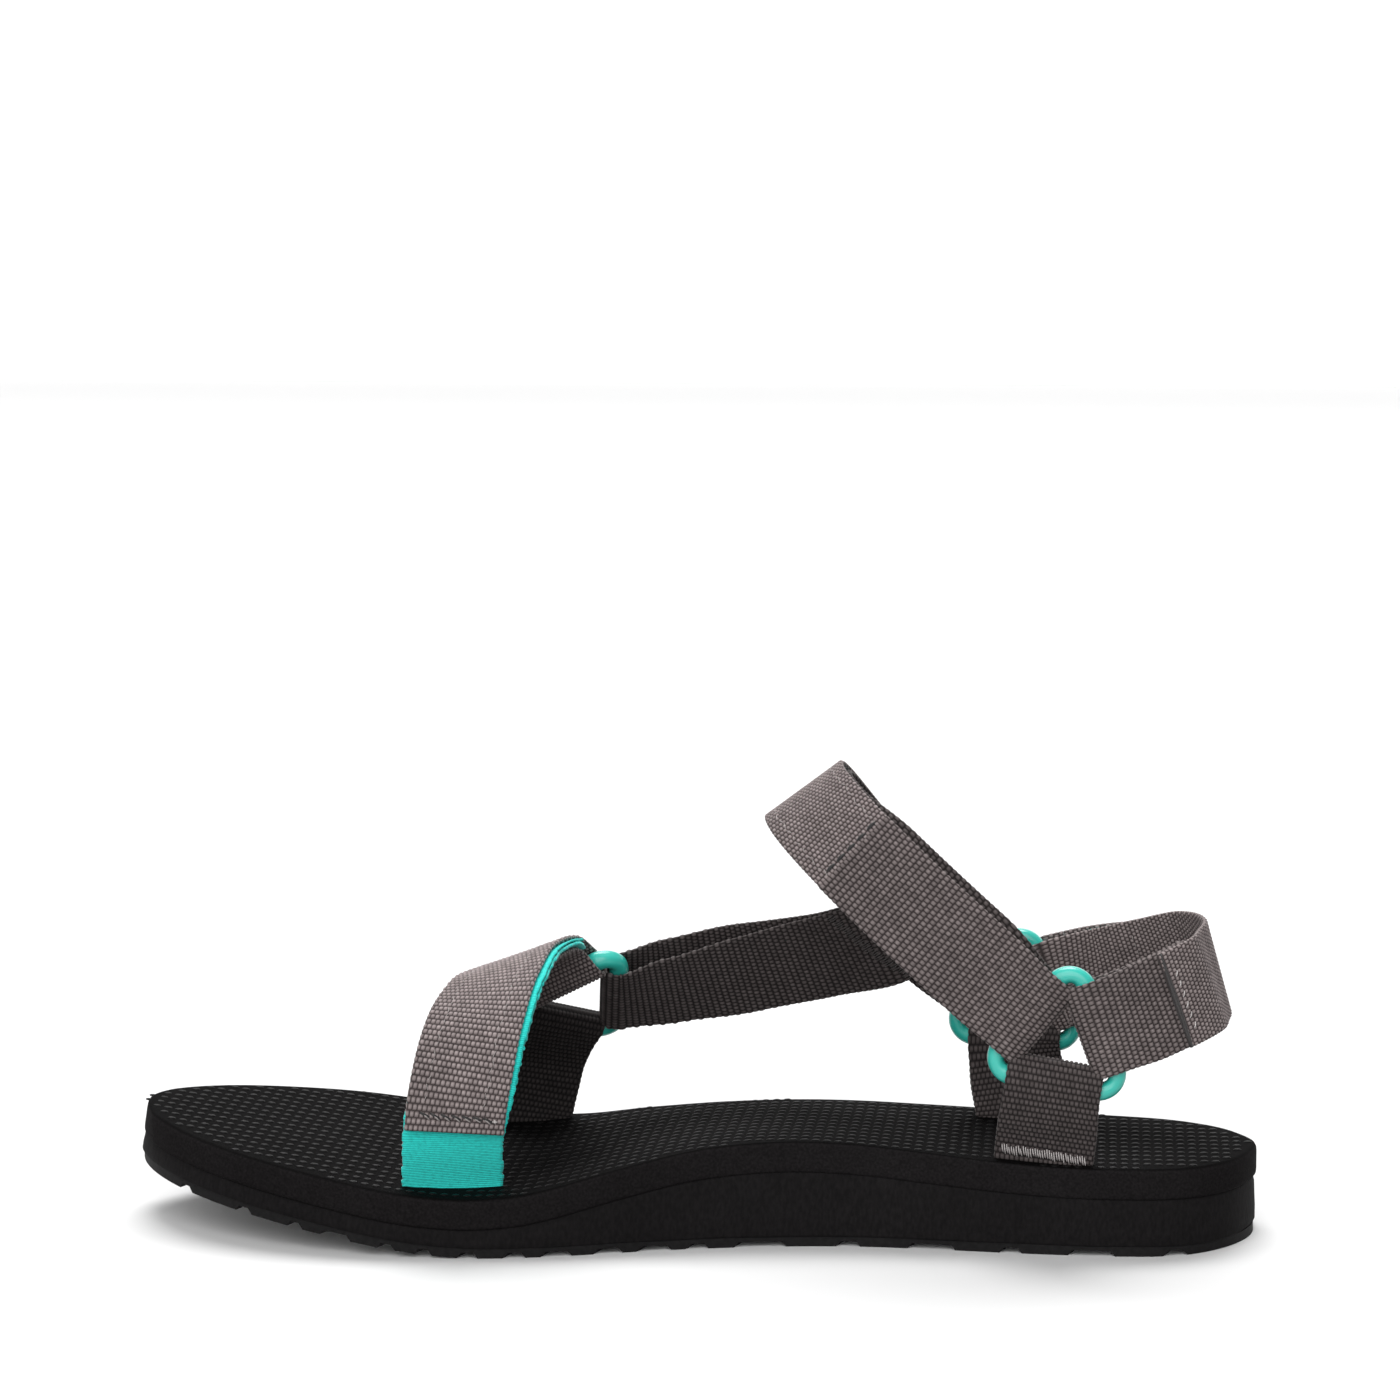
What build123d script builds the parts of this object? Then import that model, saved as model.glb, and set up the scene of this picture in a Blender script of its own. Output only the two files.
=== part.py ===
"""Strappy sport sandal, right foot, size about EU 38.

Toe points to -X, heel to +X, the medial (arch) side is -Y and the lateral side is +Y, Z is up.
The origin is on the ground under the middle of the sole.  All sizes are millimetres.
Each strap is drawn as a mid line between two ring bars or a ring bar and the sole, and the layers
of webbing and tape are offset from that line.
"""

import os
from math import cos, pi, radians, sin, sqrt

from build123d import *

# ---------------------------------------------------------------- driving dimensions
SOLE_LENGTH = 257.0
HALF_LENGTH = SOLE_LENGTH / 2
BALL_HALF_WIDTH = 44.5
TREAD_THICKNESS = 2.2
TREAD_GROOVE_DEPTH = 1.2
TREAD_GROOVE_FLARE = 0.7
TREAD_MIDDLE_GROOVE = 3.0
TREAD_ANGLE = 18.0
TREAD_SIDE_OFFSET = 24.0
TREAD_BAR_LENGTH = 54.0
TREAD_END_MARGIN = 30.0
BELOW_TREAD = -3.0
BELOW_SOLE = -5.0
SOLE_REACH = 50.0
FOOTBED_THICKNESS = 7.0
FOOTBED_OVERHANG = 0.6
TOE_SPRING_START = -39.5
TOE_SPRING_RADIUS = 175.0
TOE_SPRING_SLOPE = 0.166

WEB_WIDTH = 22.2
WEB_WIDTH_AT_RING = 20.0
WEB_THICKNESS = 1.3
TAPE_WIDTH = 20.4
TOE_TAPE_WIDTH = 22.0
TAPE_THICKNESS = 0.7
LAYER_GAP = 0.1
TAB_RISE = 1.0
TAB_BEND = 2.0
TAB_LENGTH = 10.0
SLOT_CLEARANCE = 0.45

RING_BAR = 4.4
RING_DEPTH = 4.2
RING_INNER_SIDE = 25.0
RING_INNER_RADIUS = 1.2
RING_OUTER_RADIUS = 6.3
RING_ROUNDING = 1.8
RING_CLEARANCE = 0.25

# worked out from the driving dimensions
RING_CENTRELINE_SIDE = RING_INNER_SIDE + RING_BAR * sqrt(3)
RING_OUTER_SIDE = RING_INNER_SIDE + 2 * RING_BAR * sqrt(3)
BAR_OFFSET = RING_CENTRELINE_SIDE / (2 * sqrt(3))
WRAP_RADIUS = RING_BAR / 2 + RING_CLEARANCE + WEB_THICKNESS / 2
SEWN_GAP = (WEB_THICKNESS + LAYER_GAP) / 2
TAPED_GAP = (WEB_THICKNESS + 2 * TAPE_THICKNESS + 3 * LAYER_GAP) / 2


# ---------------------------------------------------------------- small helpers
def save(piece, name):
    """Label a finished piece and write it to its own STEP file."""
    piece.part.label = name
    export_step(piece.part, f"parts/{name}.step")


def ease(t):
    """Smooth step from 0 to 1."""
    t = min(max(t, 0.0), 1.0)
    return t * t * (3 - 2 * t)


def square_to(direction, along):
    """Part of direction that is square to along, with length 1."""
    return (direction - along * direction.dot(along)).normalized()


def smooth(keys, steps=4):
    """Stations of a Catmull-Rom curve through keys, a list of (centre, across).

    The first and last keys only steer the ends.
    """
    stations = []
    for i in range(1, len(keys) - 2):
        last = i == len(keys) - 3
        for k in range(steps + (1 if last else 0)):
            t = k / steps
            weights = (
                (-t + 2 * t**2 - t**3) / 2,
                (2 - 5 * t**2 + 3 * t**3) / 2,
                (t + 4 * t**2 - 3 * t**3) / 2,
                (t**3 - t**2) / 2,
            )
            centre = Vector(0, 0, 0)
            for weight, key in zip(weights, keys[i - 1 : i + 3]):
                centre += Vector(*key[0]) * weight
            across = Vector(*keys[i][1]) * (1 - ease(t)) + Vector(*keys[i + 1][1]) * ease(t)
            stations.append((centre, across.normalized()))
    return stations


def lengths(stations):
    """Distance along the mid line of each station."""
    run = [0.0]
    for (a, _), (b, _) in zip(stations, stations[1:]):
        run.append(run[-1] + (b - a).length)
    return run


def tangents(centres):
    """Direction of travel at each centre."""
    found = []
    for i in range(len(centres)):
        before = centres[max(i - 1, 0)]
        after = centres[min(i + 1, len(centres) - 1)]
        found.append((after - before).normalized())
    return found


def layer(stations, gap, outward, start=0.0, stop=None):
    """A layer at gap(distance) outside the mid line, from start to stop along it.

    gap is a number or a function of the distance, and outward tells which face looks out.
    """
    run = lengths(stations)
    stop = run[-1] if stop is None else stop
    along = tangents([centre for centre, _ in stations])
    placed = []
    for (centre, across), where, forward in zip(stations, run, along):
        across = square_to(across, forward)
        normal = across.cross(forward) * outward
        offset = gap(where) if callable(gap) else gap
        placed.append((centre + normal * offset, across, where))
    return trim(placed, start, stop)


def trim(placed, start, stop):
    """Keep what lies between two distances, with new stations exactly at the ends."""
    kept = [between(placed, start)]
    kept += [(centre, across) for centre, across, where in placed if start + 0.3 < where < stop - 0.3]
    kept.append(between(placed, stop))
    return kept


def between(placed, where):
    """The station at a distance, by straight interpolation."""
    for (c0, a0, w0), (c1, a1, w1) in zip(placed, placed[1:]):
        if where <= w1 + 1e-6:
            t = (where - w0) / (w1 - w0)
            return (c0 + (c1 - c0) * t, a0 + (a1 - a0) * t)
    return placed[-1][:2]


def wrap(bar, away, across, normal, turn=180, steps=8):
    """Stations round a ring bar, from the +normal face, through the ring, to the -normal face."""
    stations = []
    for k in range(1, steps):
        angle = radians(turn * k / steps)
        offset = normal * cos(angle) - away * sin(angle)
        stations.append((bar + offset * WRAP_RADIUS, across))
    return stations


def band(stations, thickness, width_at):
    """A closed ribbon of webbing or tape: rectangles across the stations, ruled together."""
    centres = [centre for centre, _ in stations]
    along = tangents(centres)
    with BuildPart() as ribbon:
        for i, (centre, across) in enumerate(stations):
            across = square_to(across, along[i])
            with BuildSketch(Plane(origin=centre, x_dir=across, z_dir=along[i])):
                Rectangle(width_at(centre), thickness)
        loft(ruled=True)
    return ribbon


def plain(width):
    """A width that is the same everywhere."""
    return lambda centre: width


def narrowed(*bars):
    """Webbing width, gathered where it goes round a ring bar."""

    def width(centre):
        nearest = min((centre - bar).length for bar in bars)
        spread = ease((nearest - WRAP_RADIUS) / 9)
        return WEB_WIDTH_AT_RING + (WEB_WIDTH - WEB_WIDTH_AT_RING) * spread

    return width


# ---------------------------------------------------------------- rings
class RingFrame:
    """Place of a ring: centre, two directions in its plane, and the bar at each of three angles."""

    def __init__(self, centre, right, up, angles):
        self.centre = Vector(*centre)
        self.right = Vector(*right).normalized()
        self.up = square_to(Vector(*up), self.right)
        self.normal = self.right.cross(self.up)
        self.angles = angles

    def away(self, name):
        angle = radians(self.angles[name])
        return self.right * cos(angle) + self.up * sin(angle)

    def across(self, name):
        angle = radians(self.angles[name])
        return self.up * cos(angle) - self.right * sin(angle)

    def bar(self, name):
        return self.centre + self.away(name) * BAR_OFFSET

    def plane(self):
        first = min(self.angles.values())
        x_dir = self.right * cos(radians(first)) + self.up * sin(radians(first))
        return Plane(origin=self.centre, x_dir=x_dir, z_dir=self.normal)


ANKLE_LEAN = radians(3)
RING_MEDIAL = RingFrame(
    (84.2, -28.5, 48.4),
    (1, 0, 0),
    (0, sin(ANKLE_LEAN), cos(ANKLE_LEAN)),
    {"heel": 20.4, "instep": 140.4, "sole": 260.4},
)
RING_LATERAL = RingFrame(
    (73.3, 26.5, 46.9),
    (1, 0, 0),
    (0, -sin(ANKLE_LEAN), cos(ANKLE_LEAN)),
    {"heel": 26.4, "instep": 146.4, "sole": 266.4},
)
RING_TOE = RingFrame(
    (-29.1, 23.7, 46.2),
    (0.963, 0.244, 0.107),
    (0.09, -0.68, 0.73),
    {"connector": 0, "toe": 120, "sole": 240},
)


def rounded_triangle(side, radius):
    """An equal-sided triangle with round corners, one of them opposite the first bar."""
    with BuildSketch() as shape:
        RegularPolygon(side / sqrt(3), 3, rotation=60)
        fillet(shape.vertices(), radius)
    return shape.sketch


def make_ring(frame):
    """A plump rounded triangle of moulded plastic."""
    with BuildPart() as ring:
        with BuildSketch(frame.plane()):
            add(rounded_triangle(RING_OUTER_SIDE, RING_OUTER_RADIUS))
            add(rounded_triangle(RING_INNER_SIDE, RING_INNER_RADIUS), mode=Mode.SUBTRACT)
        extrude(amount=RING_DEPTH / 2, both=True)
        faces = ring.faces().filter_by(Axis((0, 0, 0), tuple(frame.normal)))
        fillet(faces.edges(), RING_ROUNDING)
    return ring


# ---------------------------------------------------------------- sole
def ground(x):
    """Height of the underside, which lifts in front of the ball of the foot."""
    if x >= TOE_SPRING_START:
        return 0.0
    bend_end = TOE_SPRING_START - TOE_SPRING_RADIUS * TOE_SPRING_SLOPE
    if x >= bend_end:
        return (TOE_SPRING_START - x) ** 2 / (2 * TOE_SPRING_RADIUS)
    rise = (TOE_SPRING_START - bend_end) ** 2 / (2 * TOE_SPRING_RADIUS)
    return rise + (bend_end - x) * TOE_SPRING_SLOPE


# grooves of the tread: place along the middle of each side, and width
TREAD_GROOVES = [
    (-113, 4), (-95, 5), (-81, 5), (-71, 8.5), (-58.5, 5), (-50, 4.5), (-40.3, 4.5), (-30.4, 4.5),
    (-22, 6), (-12, 5.5), (-3, 6.5), (5.5, 4.5), (18.4, 10.5), (37.4, 5.2), (56.4, 10.4), (74.7, 5),
    (93, 10), (111, 4.5),
]
MEDIAL_EDGE = [
    (-124, -13), (-112, -27), (-95, -37), (-72, -43.5), (-50, -44.5), (-30, -41.3),
    (-8, -34), (14, -28.3), (40, -25.5), (70, -28), (95, -29.5), (112, -27), (123, -17),
]
LATERAL_EDGE = [
    (125, 12), (117, 21), (104, 26.8), (80, 29.3), (45, 30.7), (10, 33.5), (-22, 38.5),
    (-45, 43), (-65, 44.5), (-82, 42), (-98, 34.8), (-112.5, 24.8), (-123, 12.8),
]
MEDIAL_THICKNESS = [
    (-133, 13.1), (-60, 12.9), (-40, 13.6), (-30, 15.1), (-13, 19.6), (3.5, 23.7),
    (21, 25.4), (37, 24.7), (54, 22.7), (71, 20.9), (89, 20.0), (133, 20.1),
]
LATERAL_THICKNESS = [
    (-133, 14.3), (-57, 14.5), (-32, 14.8), (-13, 17.2), (8, 19.1), (30, 20.2),
    (52, 20.3), (75, 19.9), (100, 19.3), (133, 19.2),
]
BAND_START = -133.0
BAND_END = 133.0
TOE_SPRING_POINTS = (BAND_START, -100, -75, -66, -57, -48)
BAND_HALF_WIDTH = 55.0


def outline(inset=0.0):
    """Plan shape of the sole, drawn in by inset at its widest and longest."""
    shrink_x = 1 - inset / HALF_LENGTH
    shrink_y = 1 - inset / BALL_HALF_WIDTH
    toe = (-HALF_LENGTH * shrink_x, 0)
    heel = (HALF_LENGTH * shrink_x, 0)
    medial = [(x * shrink_x, y * shrink_y) for x, y in MEDIAL_EDGE]
    lateral = [(x * shrink_x, y * shrink_y) for x, y in LATERAL_EDGE]
    with BuildSketch() as shape:
        with BuildLine():
            Spline(toe, *medial, heel, *lateral, periodic=True)
        make_face()
    return shape.sketch


def draw_edge(edge):
    """Draw an edge of a side view from toe to heel, and return its ends.

    edge is a list of points, or a height above the underside, which is flat behind the toe spring.
    """
    if isinstance(edge, list):
        Spline(*edge)
        return edge[0], edge[-1]
    toe = [(x, ground(x) + edge) for x in TOE_SPRING_POINTS]
    bend = (TOE_SPRING_START, edge)
    heel = (BAND_END, edge)
    Spline(*toe, bend, tangents=[(1, -TOE_SPRING_SLOPE), (1, 0)])
    Line(bend, heel)
    return toe[0], heel


def side_profile(y, low, high):
    """Side view of a layer at one side, between two edges."""
    with BuildSketch(Plane(origin=(0, y, 0), x_dir=(1, 0, 0), z_dir=(0, -1, 0))) as shape:
        with BuildLine():
            high_toe, high_heel = draw_edge(high)
            low_toe, low_heel = draw_edge(low)
            Line(high_heel, low_heel)
            Line(low_toe, high_toe)
        make_face()
    return shape.sketch


def sole_top(thickness, drop):
    """Points along the top of one side of the sole, lowered by drop."""
    return [(x, ground(x) + height - drop) for x, height in thickness]


def sole_layer(medial_low, medial_high, lateral_low, lateral_high, inset=0.0):
    """A layer of the sole: the band between two side views, cut to the plan shape."""
    plan = outline(inset)
    medial = side_profile(-BAND_HALF_WIDTH, medial_low, medial_high)
    lateral = side_profile(BAND_HALF_WIDTH, lateral_low, lateral_high)
    with BuildPart() as sides:
        add(medial)
        add(lateral)
        loft(ruled=True)
    with BuildPart() as piece:
        with BuildSketch(Plane.XY.offset(BELOW_SOLE)):
            add(plan)
        extrude(amount=SOLE_REACH)
        add(sides.part, mode=Mode.INTERSECT)
    return piece


def thickness_at(table, x):
    """Sole thickness at one side, straight between the listed points."""
    for (x0, t0), (x1, t1) in zip(table, table[1:]):
        if x <= x1:
            return t0 + (t1 - t0) * (x - x0) / (x1 - x0)
    return table[-1][1]


def footbed_top(x, y):
    """Height of the footbed."""
    share = (y + BAND_HALF_WIDTH) / (2 * BAND_HALF_WIDTH)
    medial = thickness_at(MEDIAL_THICKNESS, x)
    lateral = thickness_at(LATERAL_THICKNESS, x)
    return ground(x) + medial * (1 - share) + lateral * share


def carved(blank, cutters):
    """The blank with each cutter taken away."""
    with BuildPart() as piece:
        add(blank.part)
        for cutter in cutters:
            add(cutter.part, mode=Mode.SUBTRACT)
    return piece


def tread_groove(width):
    """A cutter for one groove, width wide at the tread's face and narrower inside it."""
    mouth = width / 2
    low = mouth - BELOW_TREAD * TREAD_GROOVE_FLARE
    high = mouth - TREAD_THICKNESS * TREAD_GROOVE_FLARE
    with BuildPart() as piece:
        with BuildSketch(Plane.XZ.offset(-TREAD_BAR_LENGTH / 2)):
            with BuildLine():
                Polyline(
                    (-low, BELOW_TREAD),
                    (low, BELOW_TREAD),
                    (high, TREAD_THICKNESS),
                    (-high, TREAD_THICKNESS),
                    close=True,
                )
            make_face()
        extrude(amount=TREAD_BAR_LENGTH)
    return piece


def make_outsole():
    """Thin rubber tread with chevron grooves, unevenly spaced."""
    piece = sole_layer(0, TREAD_THICKNESS, 0, TREAD_THICKNESS, FOOTBED_OVERHANG)
    groove_zone = sole_layer(BELOW_TREAD, TREAD_GROOVE_DEPTH, BELOW_TREAD, TREAD_GROOVE_DEPTH)
    cutters = [(x, tread_groove(width)) for x, width in TREAD_GROOVES]
    with BuildPart() as grooves:
        for x, cutter in cutters:
            for side in (-1, 1):
                place = (x, side * TREAD_SIDE_OFFSET, ground(x))
                with Locations(Location(place, (0, 0, side * TREAD_ANGLE))):
                    add(cutter.part)
        with BuildSketch(Plane.XY.offset(BELOW_SOLE)):
            Rectangle(SOLE_LENGTH - 2 * TREAD_END_MARGIN, TREAD_MIDDLE_GROOVE)
        extrude(amount=SOLE_REACH)
        add(groove_zone.part, mode=Mode.INTERSECT)
    return carved(piece, [grooves])


def along_footbed(x, y, direction):
    """A level direction, tilted to follow the footbed."""
    reach = WEB_WIDTH / 2
    dx, dy = direction
    rise = footbed_top(x + dx * reach, y + dy * reach) - footbed_top(x - dx * reach, y - dy * reach)
    return Vector(dx, dy, rise / (2 * reach)).normalized()


class Anchor:
    """Where a strap enters the footbed: its place, its directions, and the layers in its slot."""

    def __init__(self, x, y, across, inward, outer, inner):
        self.top = Vector(x, y, footbed_top(x, y))
        self.across = along_footbed(x, y, across)
        self.inward = square_to(along_footbed(x, y, inward), self.across)
        self.up = self.across.cross(self.inward)
        if self.up.Z < 0:
            self.up = -self.up
        self.seam = self.top - self.up * FOOTBED_THICKNESS
        self.outer = outer
        self.inner = inner

    def tab(self, offset):
        """Stations of the end that turns inward between the footbed and the midsole."""
        start = self.seam - self.inward * offset
        stations = [(start + self.up * TAB_RISE, self.across)]
        for turn in (30, 60, 90):
            angle = radians(turn)
            drop = TAB_RISE - TAB_BEND * sin(angle)
            shift = TAB_BEND * (1 - cos(angle))
            stations.append((start + self.up * drop + self.inward * shift, self.across))
        last = stations[-1][0]
        stations.append((last + self.inward * TAB_LENGTH, self.across))
        return stations

    def box(self, low, high, reach_out, reach_in):
        """A cutter round the strap: low and high are heights above the seam under the footbed."""
        plane = Plane(origin=self.seam, x_dir=self.across, z_dir=self.up)
        side = 1 if plane.y_dir.dot(self.inward) > 0 else -1
        middle = side * (reach_in - reach_out) / 2
        with BuildPart() as cutter:
            with BuildSketch(plane.offset(low)):
                with Locations((0, middle)):
                    Rectangle(WEB_WIDTH + 2 * SLOT_CLEARANCE, reach_out + reach_in)
            extrude(amount=high - low)
        return cutter

    def slot(self):
        """The slot through the footbed."""
        reach_out = self.outer + SLOT_CLEARANCE
        reach_in = self.inner + 2 * SLOT_CLEARANCE
        return self.box(-2, FOOTBED_THICKNESS + 4, reach_out, reach_in)

    def pocket(self):
        """The shallow pocket in the midsole that takes the tab."""
        depth = TAB_BEND - TAB_RISE + WEB_THICKNESS / 2 + SLOT_CLEARANCE
        reach_in = self.inner + TAB_BEND + TAB_LENGTH + SLOT_CLEARANCE
        return self.box(-depth, 3, self.outer, reach_in)


def make_midsole(anchors):
    """Cushioning foam between the tread and the footbed, with pockets for the strap tabs."""
    medial = sole_top(MEDIAL_THICKNESS, FOOTBED_THICKNESS)
    lateral = sole_top(LATERAL_THICKNESS, FOOTBED_THICKNESS)
    foam = sole_layer(TREAD_THICKNESS, medial, TREAD_THICKNESS, lateral, FOOTBED_OVERHANG)
    pockets = [anchor.pocket() for anchor in anchors]
    return carved(foam, pockets)


def make_topsole(anchors):
    """Footbed foam, slotted where the straps enter."""
    medial_low = sole_top(MEDIAL_THICKNESS, FOOTBED_THICKNESS)
    lateral_low = sole_top(LATERAL_THICKNESS, FOOTBED_THICKNESS)
    medial_high = sole_top(MEDIAL_THICKNESS, 0)
    lateral_high = sole_top(LATERAL_THICKNESS, 0)
    foam = sole_layer(medial_low, medial_high, lateral_low, lateral_high)
    slots = [anchor.slot() for anchor in anchors]
    return carved(foam, slots)


# ---------------------------------------------------------------- strap routes
def gap_from_ring(rest, reach):
    """Half the distance between two layers: wide at the ring, rest beyond reach."""
    return lambda where: rest + (WRAP_RADIUS - rest) * (1 - ease(where / reach))


def double_layer(stations, gap, outward, stop=None):
    """Stations from the outer layer's end, round the ring bar at the start, to the inner end."""
    run = lengths(stations)[-1] if stop is None else stop
    outer = layer(stations, gap, outward, 0, run)
    inner = layer(stations, lambda where: -gap(where), outward, 0, run)
    return outer[::-1], inner


def around(frame, name, outward):
    """The wrap from a ring bar's outer face, through the ring, to its inner face."""
    away = frame.away(name)
    across = frame.across(name)
    return wrap(frame.bar(name), away, across, across.cross(away) * outward)


ANCHORS = {
    "toe_medial": Anchor(-51.0, -34.3, (-0.965, -0.256), (0, 1), 0.0, 2.15),
    "toe_lateral": Anchor(-42.9, 33.2, (0.955, 0.297), (0, -1), 1.35, 1.35),
    "heel_medial": Anchor(80.6, -24.4, (0.994, -0.11), (0, 1), 1.35, 1.35),
    "heel_lateral": Anchor(75.2, 20.5, (0.998, 0.06), (0, -1), 1.35, 1.35),
}


def down_to(anchor, above):
    """The last keys of a route that goes straight down into a slot."""
    across = tuple(anchor.across)
    return [
        (tuple(anchor.top + anchor.up * above), across),
        (tuple(anchor.seam + anchor.up * TAB_RISE), across),
        (tuple(anchor.seam - anchor.up * FOOTBED_THICKNESS), across),
    ]


def from_bar(frame, name):
    """The first keys of a route that leaves a ring bar."""
    across = tuple(frame.across(name))
    return [(tuple(frame.bar(name) - frame.away(name) * 9), across), (tuple(frame.bar(name)), across)]


def to_bar(frame, name):
    """The last keys of a route that arrives at a ring bar."""
    return from_bar(frame, name)[::-1]


TOE_ROUTE = smooth(
    from_bar(RING_TOE, "toe")
    + [
        ((-36.6, 9.5, 57.0), (-0.90, 0.10, -0.42)),
        ((-40.3, -4.0, 59.2), (-0.93, 0.05, -0.34)),
        ((-43.3, -17.5, 57.0), (-0.96, 0.0, -0.25)),
        ((-46.2, -29.5, 49.8), (-0.985, -0.05, -0.16)),
        ((-48.6, -36.8, 38.5), (-0.99, -0.12, -0.08)),
        ((-50.2, -38.2, 27.0), (-0.98, -0.2, -0.02)),
    ]
    + down_to(ANCHORS["toe_medial"], 1.0)
)
TOE_ANCHOR_ROUTE = smooth(
    from_bar(RING_TOE, "sole")
    + [
        ((-38.4, 31.5, 31.7), (0.87, 0.45, -0.18)),
        ((-41.0, 33.0, 23.5), (0.93, 0.35, -0.05)),
    ]
    + down_to(ANCHORS["toe_lateral"], 1.0)
)
CONNECTOR_ROUTE = smooth(
    from_bar(RING_TOE, "connector")
    + [
        ((-7.0, 28.6, 49.6), (-0.04, -0.60, 0.80)),
        ((11.0, 29.2, 53.0), (-0.22, -0.45, 0.86)),
        ((27.0, 26.2, 56.4), (-0.42, -0.32, 0.84)),
        ((39.5, 22.2, 60.0), (-0.57, -0.16, 0.80)),
        ((46.0, 21.6, 63.2), (-0.60, -0.05, 0.79)),
        ((52.0, 21.0, 66.0), (-0.60, -0.05, 0.79)),
    ]
)
INSTEP_TOP = Vector(26.1, 0, 98.4)
INSTEP_TOP_ACROSS = (-0.80, 0.0, -0.60)


def arch_to_top(angle):
    """A key on the medial rise to the top of the instep strap, an upright quarter of an ellipse."""
    bar = RING_MEDIAL.bar("instep")
    climb = sin(radians(angle))
    reach = cos(radians(angle))
    across = RING_MEDIAL.across("instep") * (1 - climb) + Vector(*INSTEP_TOP_ACROSS) * climb
    x = bar.X + (INSTEP_TOP.X - bar.X) * climb
    z = bar.Z + (INSTEP_TOP.Z - bar.Z) * climb
    return ((x, bar.Y * reach, z), tuple(across.normalized()))


INSTEP_ROUTE = smooth(
    from_bar(RING_MEDIAL, "instep")
    + [arch_to_top(angle) for angle in (15, 30, 45, 60, 75)]
    + [
        (tuple(INSTEP_TOP), INSTEP_TOP_ACROSS),
        ((27.5, 9.5, 95.5), (-0.78, 0.0, -0.62)),
        ((32.5, 18.5, 87.5), (-0.74, 0.0, -0.67)),
        ((40.5, 24.6, 76.0), (-0.68, 0.0, -0.73)),
        ((52.0, 27.6, 62.5), (-0.62, 0.0, -0.78)),
    ]
    + to_bar(RING_LATERAL, "instep")
)
HEEL_ROUTE = smooth(
    from_bar(RING_MEDIAL, "heel")
    + [
        ((104.0, -25.0, 55.2), (-0.33, 0.06, 0.94)),
        ((115.0, -15.8, 59.2), (-0.30, 0.03, 0.95)),
        ((119.8, 0.0, 61.2), (-0.26, 0.0, 0.966)),
        ((115.2, 15.5, 60.4), (-0.32, -0.03, 0.95)),
        ((104.5, 24.4, 56.8), (-0.36, -0.06, 0.93)),
        ((93.5, 27.6, 53.6), (-0.40, -0.1, 0.91)),
    ]
    + to_bar(RING_LATERAL, "heel")
)
HEEL_MEDIAL_ROUTE = smooth(
    from_bar(RING_MEDIAL, "sole")
    + [((81.6, -28.3, 30.5), (0.99, -0.05, -0.06))]
    + down_to(ANCHORS["heel_medial"], 1.0)
)
HEEL_LATERAL_ROUTE = smooth(
    from_bar(RING_LATERAL, "sole")
    + [((73.4, 26.0, 30.0), (0.998, 0.03, -0.03))]
    + down_to(ANCHORS["heel_lateral"], 1.0)
)

# where things sit along the routes, as distances from the first ring bar
TOE_HINGE = 8.0
TOE_FLAP_END = 77.5
TOE_TAPE_START = 10.0
INSTEP_STITCH = 52.0
INSTEP_HINGE = 81.0
LATERAL_RETURN = 18.0
FLAP_SHORT_OF_RETURN = 5.0
HEEL_SEAM = 16.8
HEEL_LOOP_END = 26.0
TAPE_INSET = 2.0
HEEL_HINGE = 8.0
HEEL_FLAP_LENGTH = 29.0
HINGE_GAP = 0.15


# ---------------------------------------------------------------- straps
def anchor_loop(route, frame, anchor, outward):
    """A doubled webbing loop that holds a ring down to the sole."""
    outer, inner = double_layer(route, gap_from_ring(SEWN_GAP, 14), outward)
    stations = outer + around(frame, "sole", outward) + inner[:-1] + anchor.tab(-SEWN_GAP)
    return band(stations, WEB_THICKNESS, narrowed(frame.bar("sole")))


def total(route):
    """Length of a route."""
    return lengths(route)[-1]


def toe_gap(where):
    """Half the distance between the toe strap's two layers."""
    return gap_from_ring(TAPED_GAP, 14)(where)


def instep_gap(where):
    """Half the distance between the instep strap's two layers, wide at both rings."""
    from_end = total(INSTEP_ROUTE) - where
    return gap_from_ring(TAPED_GAP, 18)(min(where, from_end))


def heel_gap(where):
    """Half the distance between the heel strap's layers near the lateral ring."""
    return gap_from_ring(TAPED_GAP, 14)(total(HEEL_ROUTE) - where)


def connector_gap(where):
    """Half the distance between the connector's layers, open until they meet at the instep strap."""
    return SEWN_GAP + (WRAP_RADIUS - SEWN_GAP) * (1 - ease((where - 22) / 32))


def heel_main_offset(where):
    """The main heel strap lies outside the ring loop, then on the mid line, then inside the flap."""
    over_loop = (SEWN_GAP + WEB_THICKNESS + LAYER_GAP) * (1 - ease((where - HEEL_LOOP_END) / 9))
    return over_loop - heel_gap(where) * ease((where - HEEL_LOOP_END - 8) / 14)


def under(gap):
    """Offset of a tape under the outer layer."""
    return lambda where: gap(where) - (WEB_THICKNESS + TAPE_THICKNESS) / 2 - LAYER_GAP


def negative(gap):
    """The same offset on the other side of the mid line."""
    return lambda where: -gap(where)


def make_toe_strap():
    """Inner layer from the medial slot to the toe ring, round its bar, and back to the fold."""
    outer = layer(TOE_ROUTE, toe_gap, 1, 0, TOE_HINGE - HINGE_GAP)
    inner = layer(TOE_ROUTE, negative(toe_gap), 1)
    anchor = ANCHORS["toe_medial"]
    stations = outer[::-1] + around(RING_TOE, "toe", 1) + inner[:-1] + anchor.tab(-TAPED_GAP)
    return band(stations, WEB_THICKNESS, narrowed(RING_TOE.bar("toe")))


def make_toe_flap():
    """Free end of the toe strap, which folds back over the foot to the medial side."""
    stations = layer(TOE_ROUTE, toe_gap, 1, TOE_HINGE + HINGE_GAP, TOE_FLAP_END)
    return band(stations, WEB_THICKNESS, narrowed(RING_TOE.bar("toe")))


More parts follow.
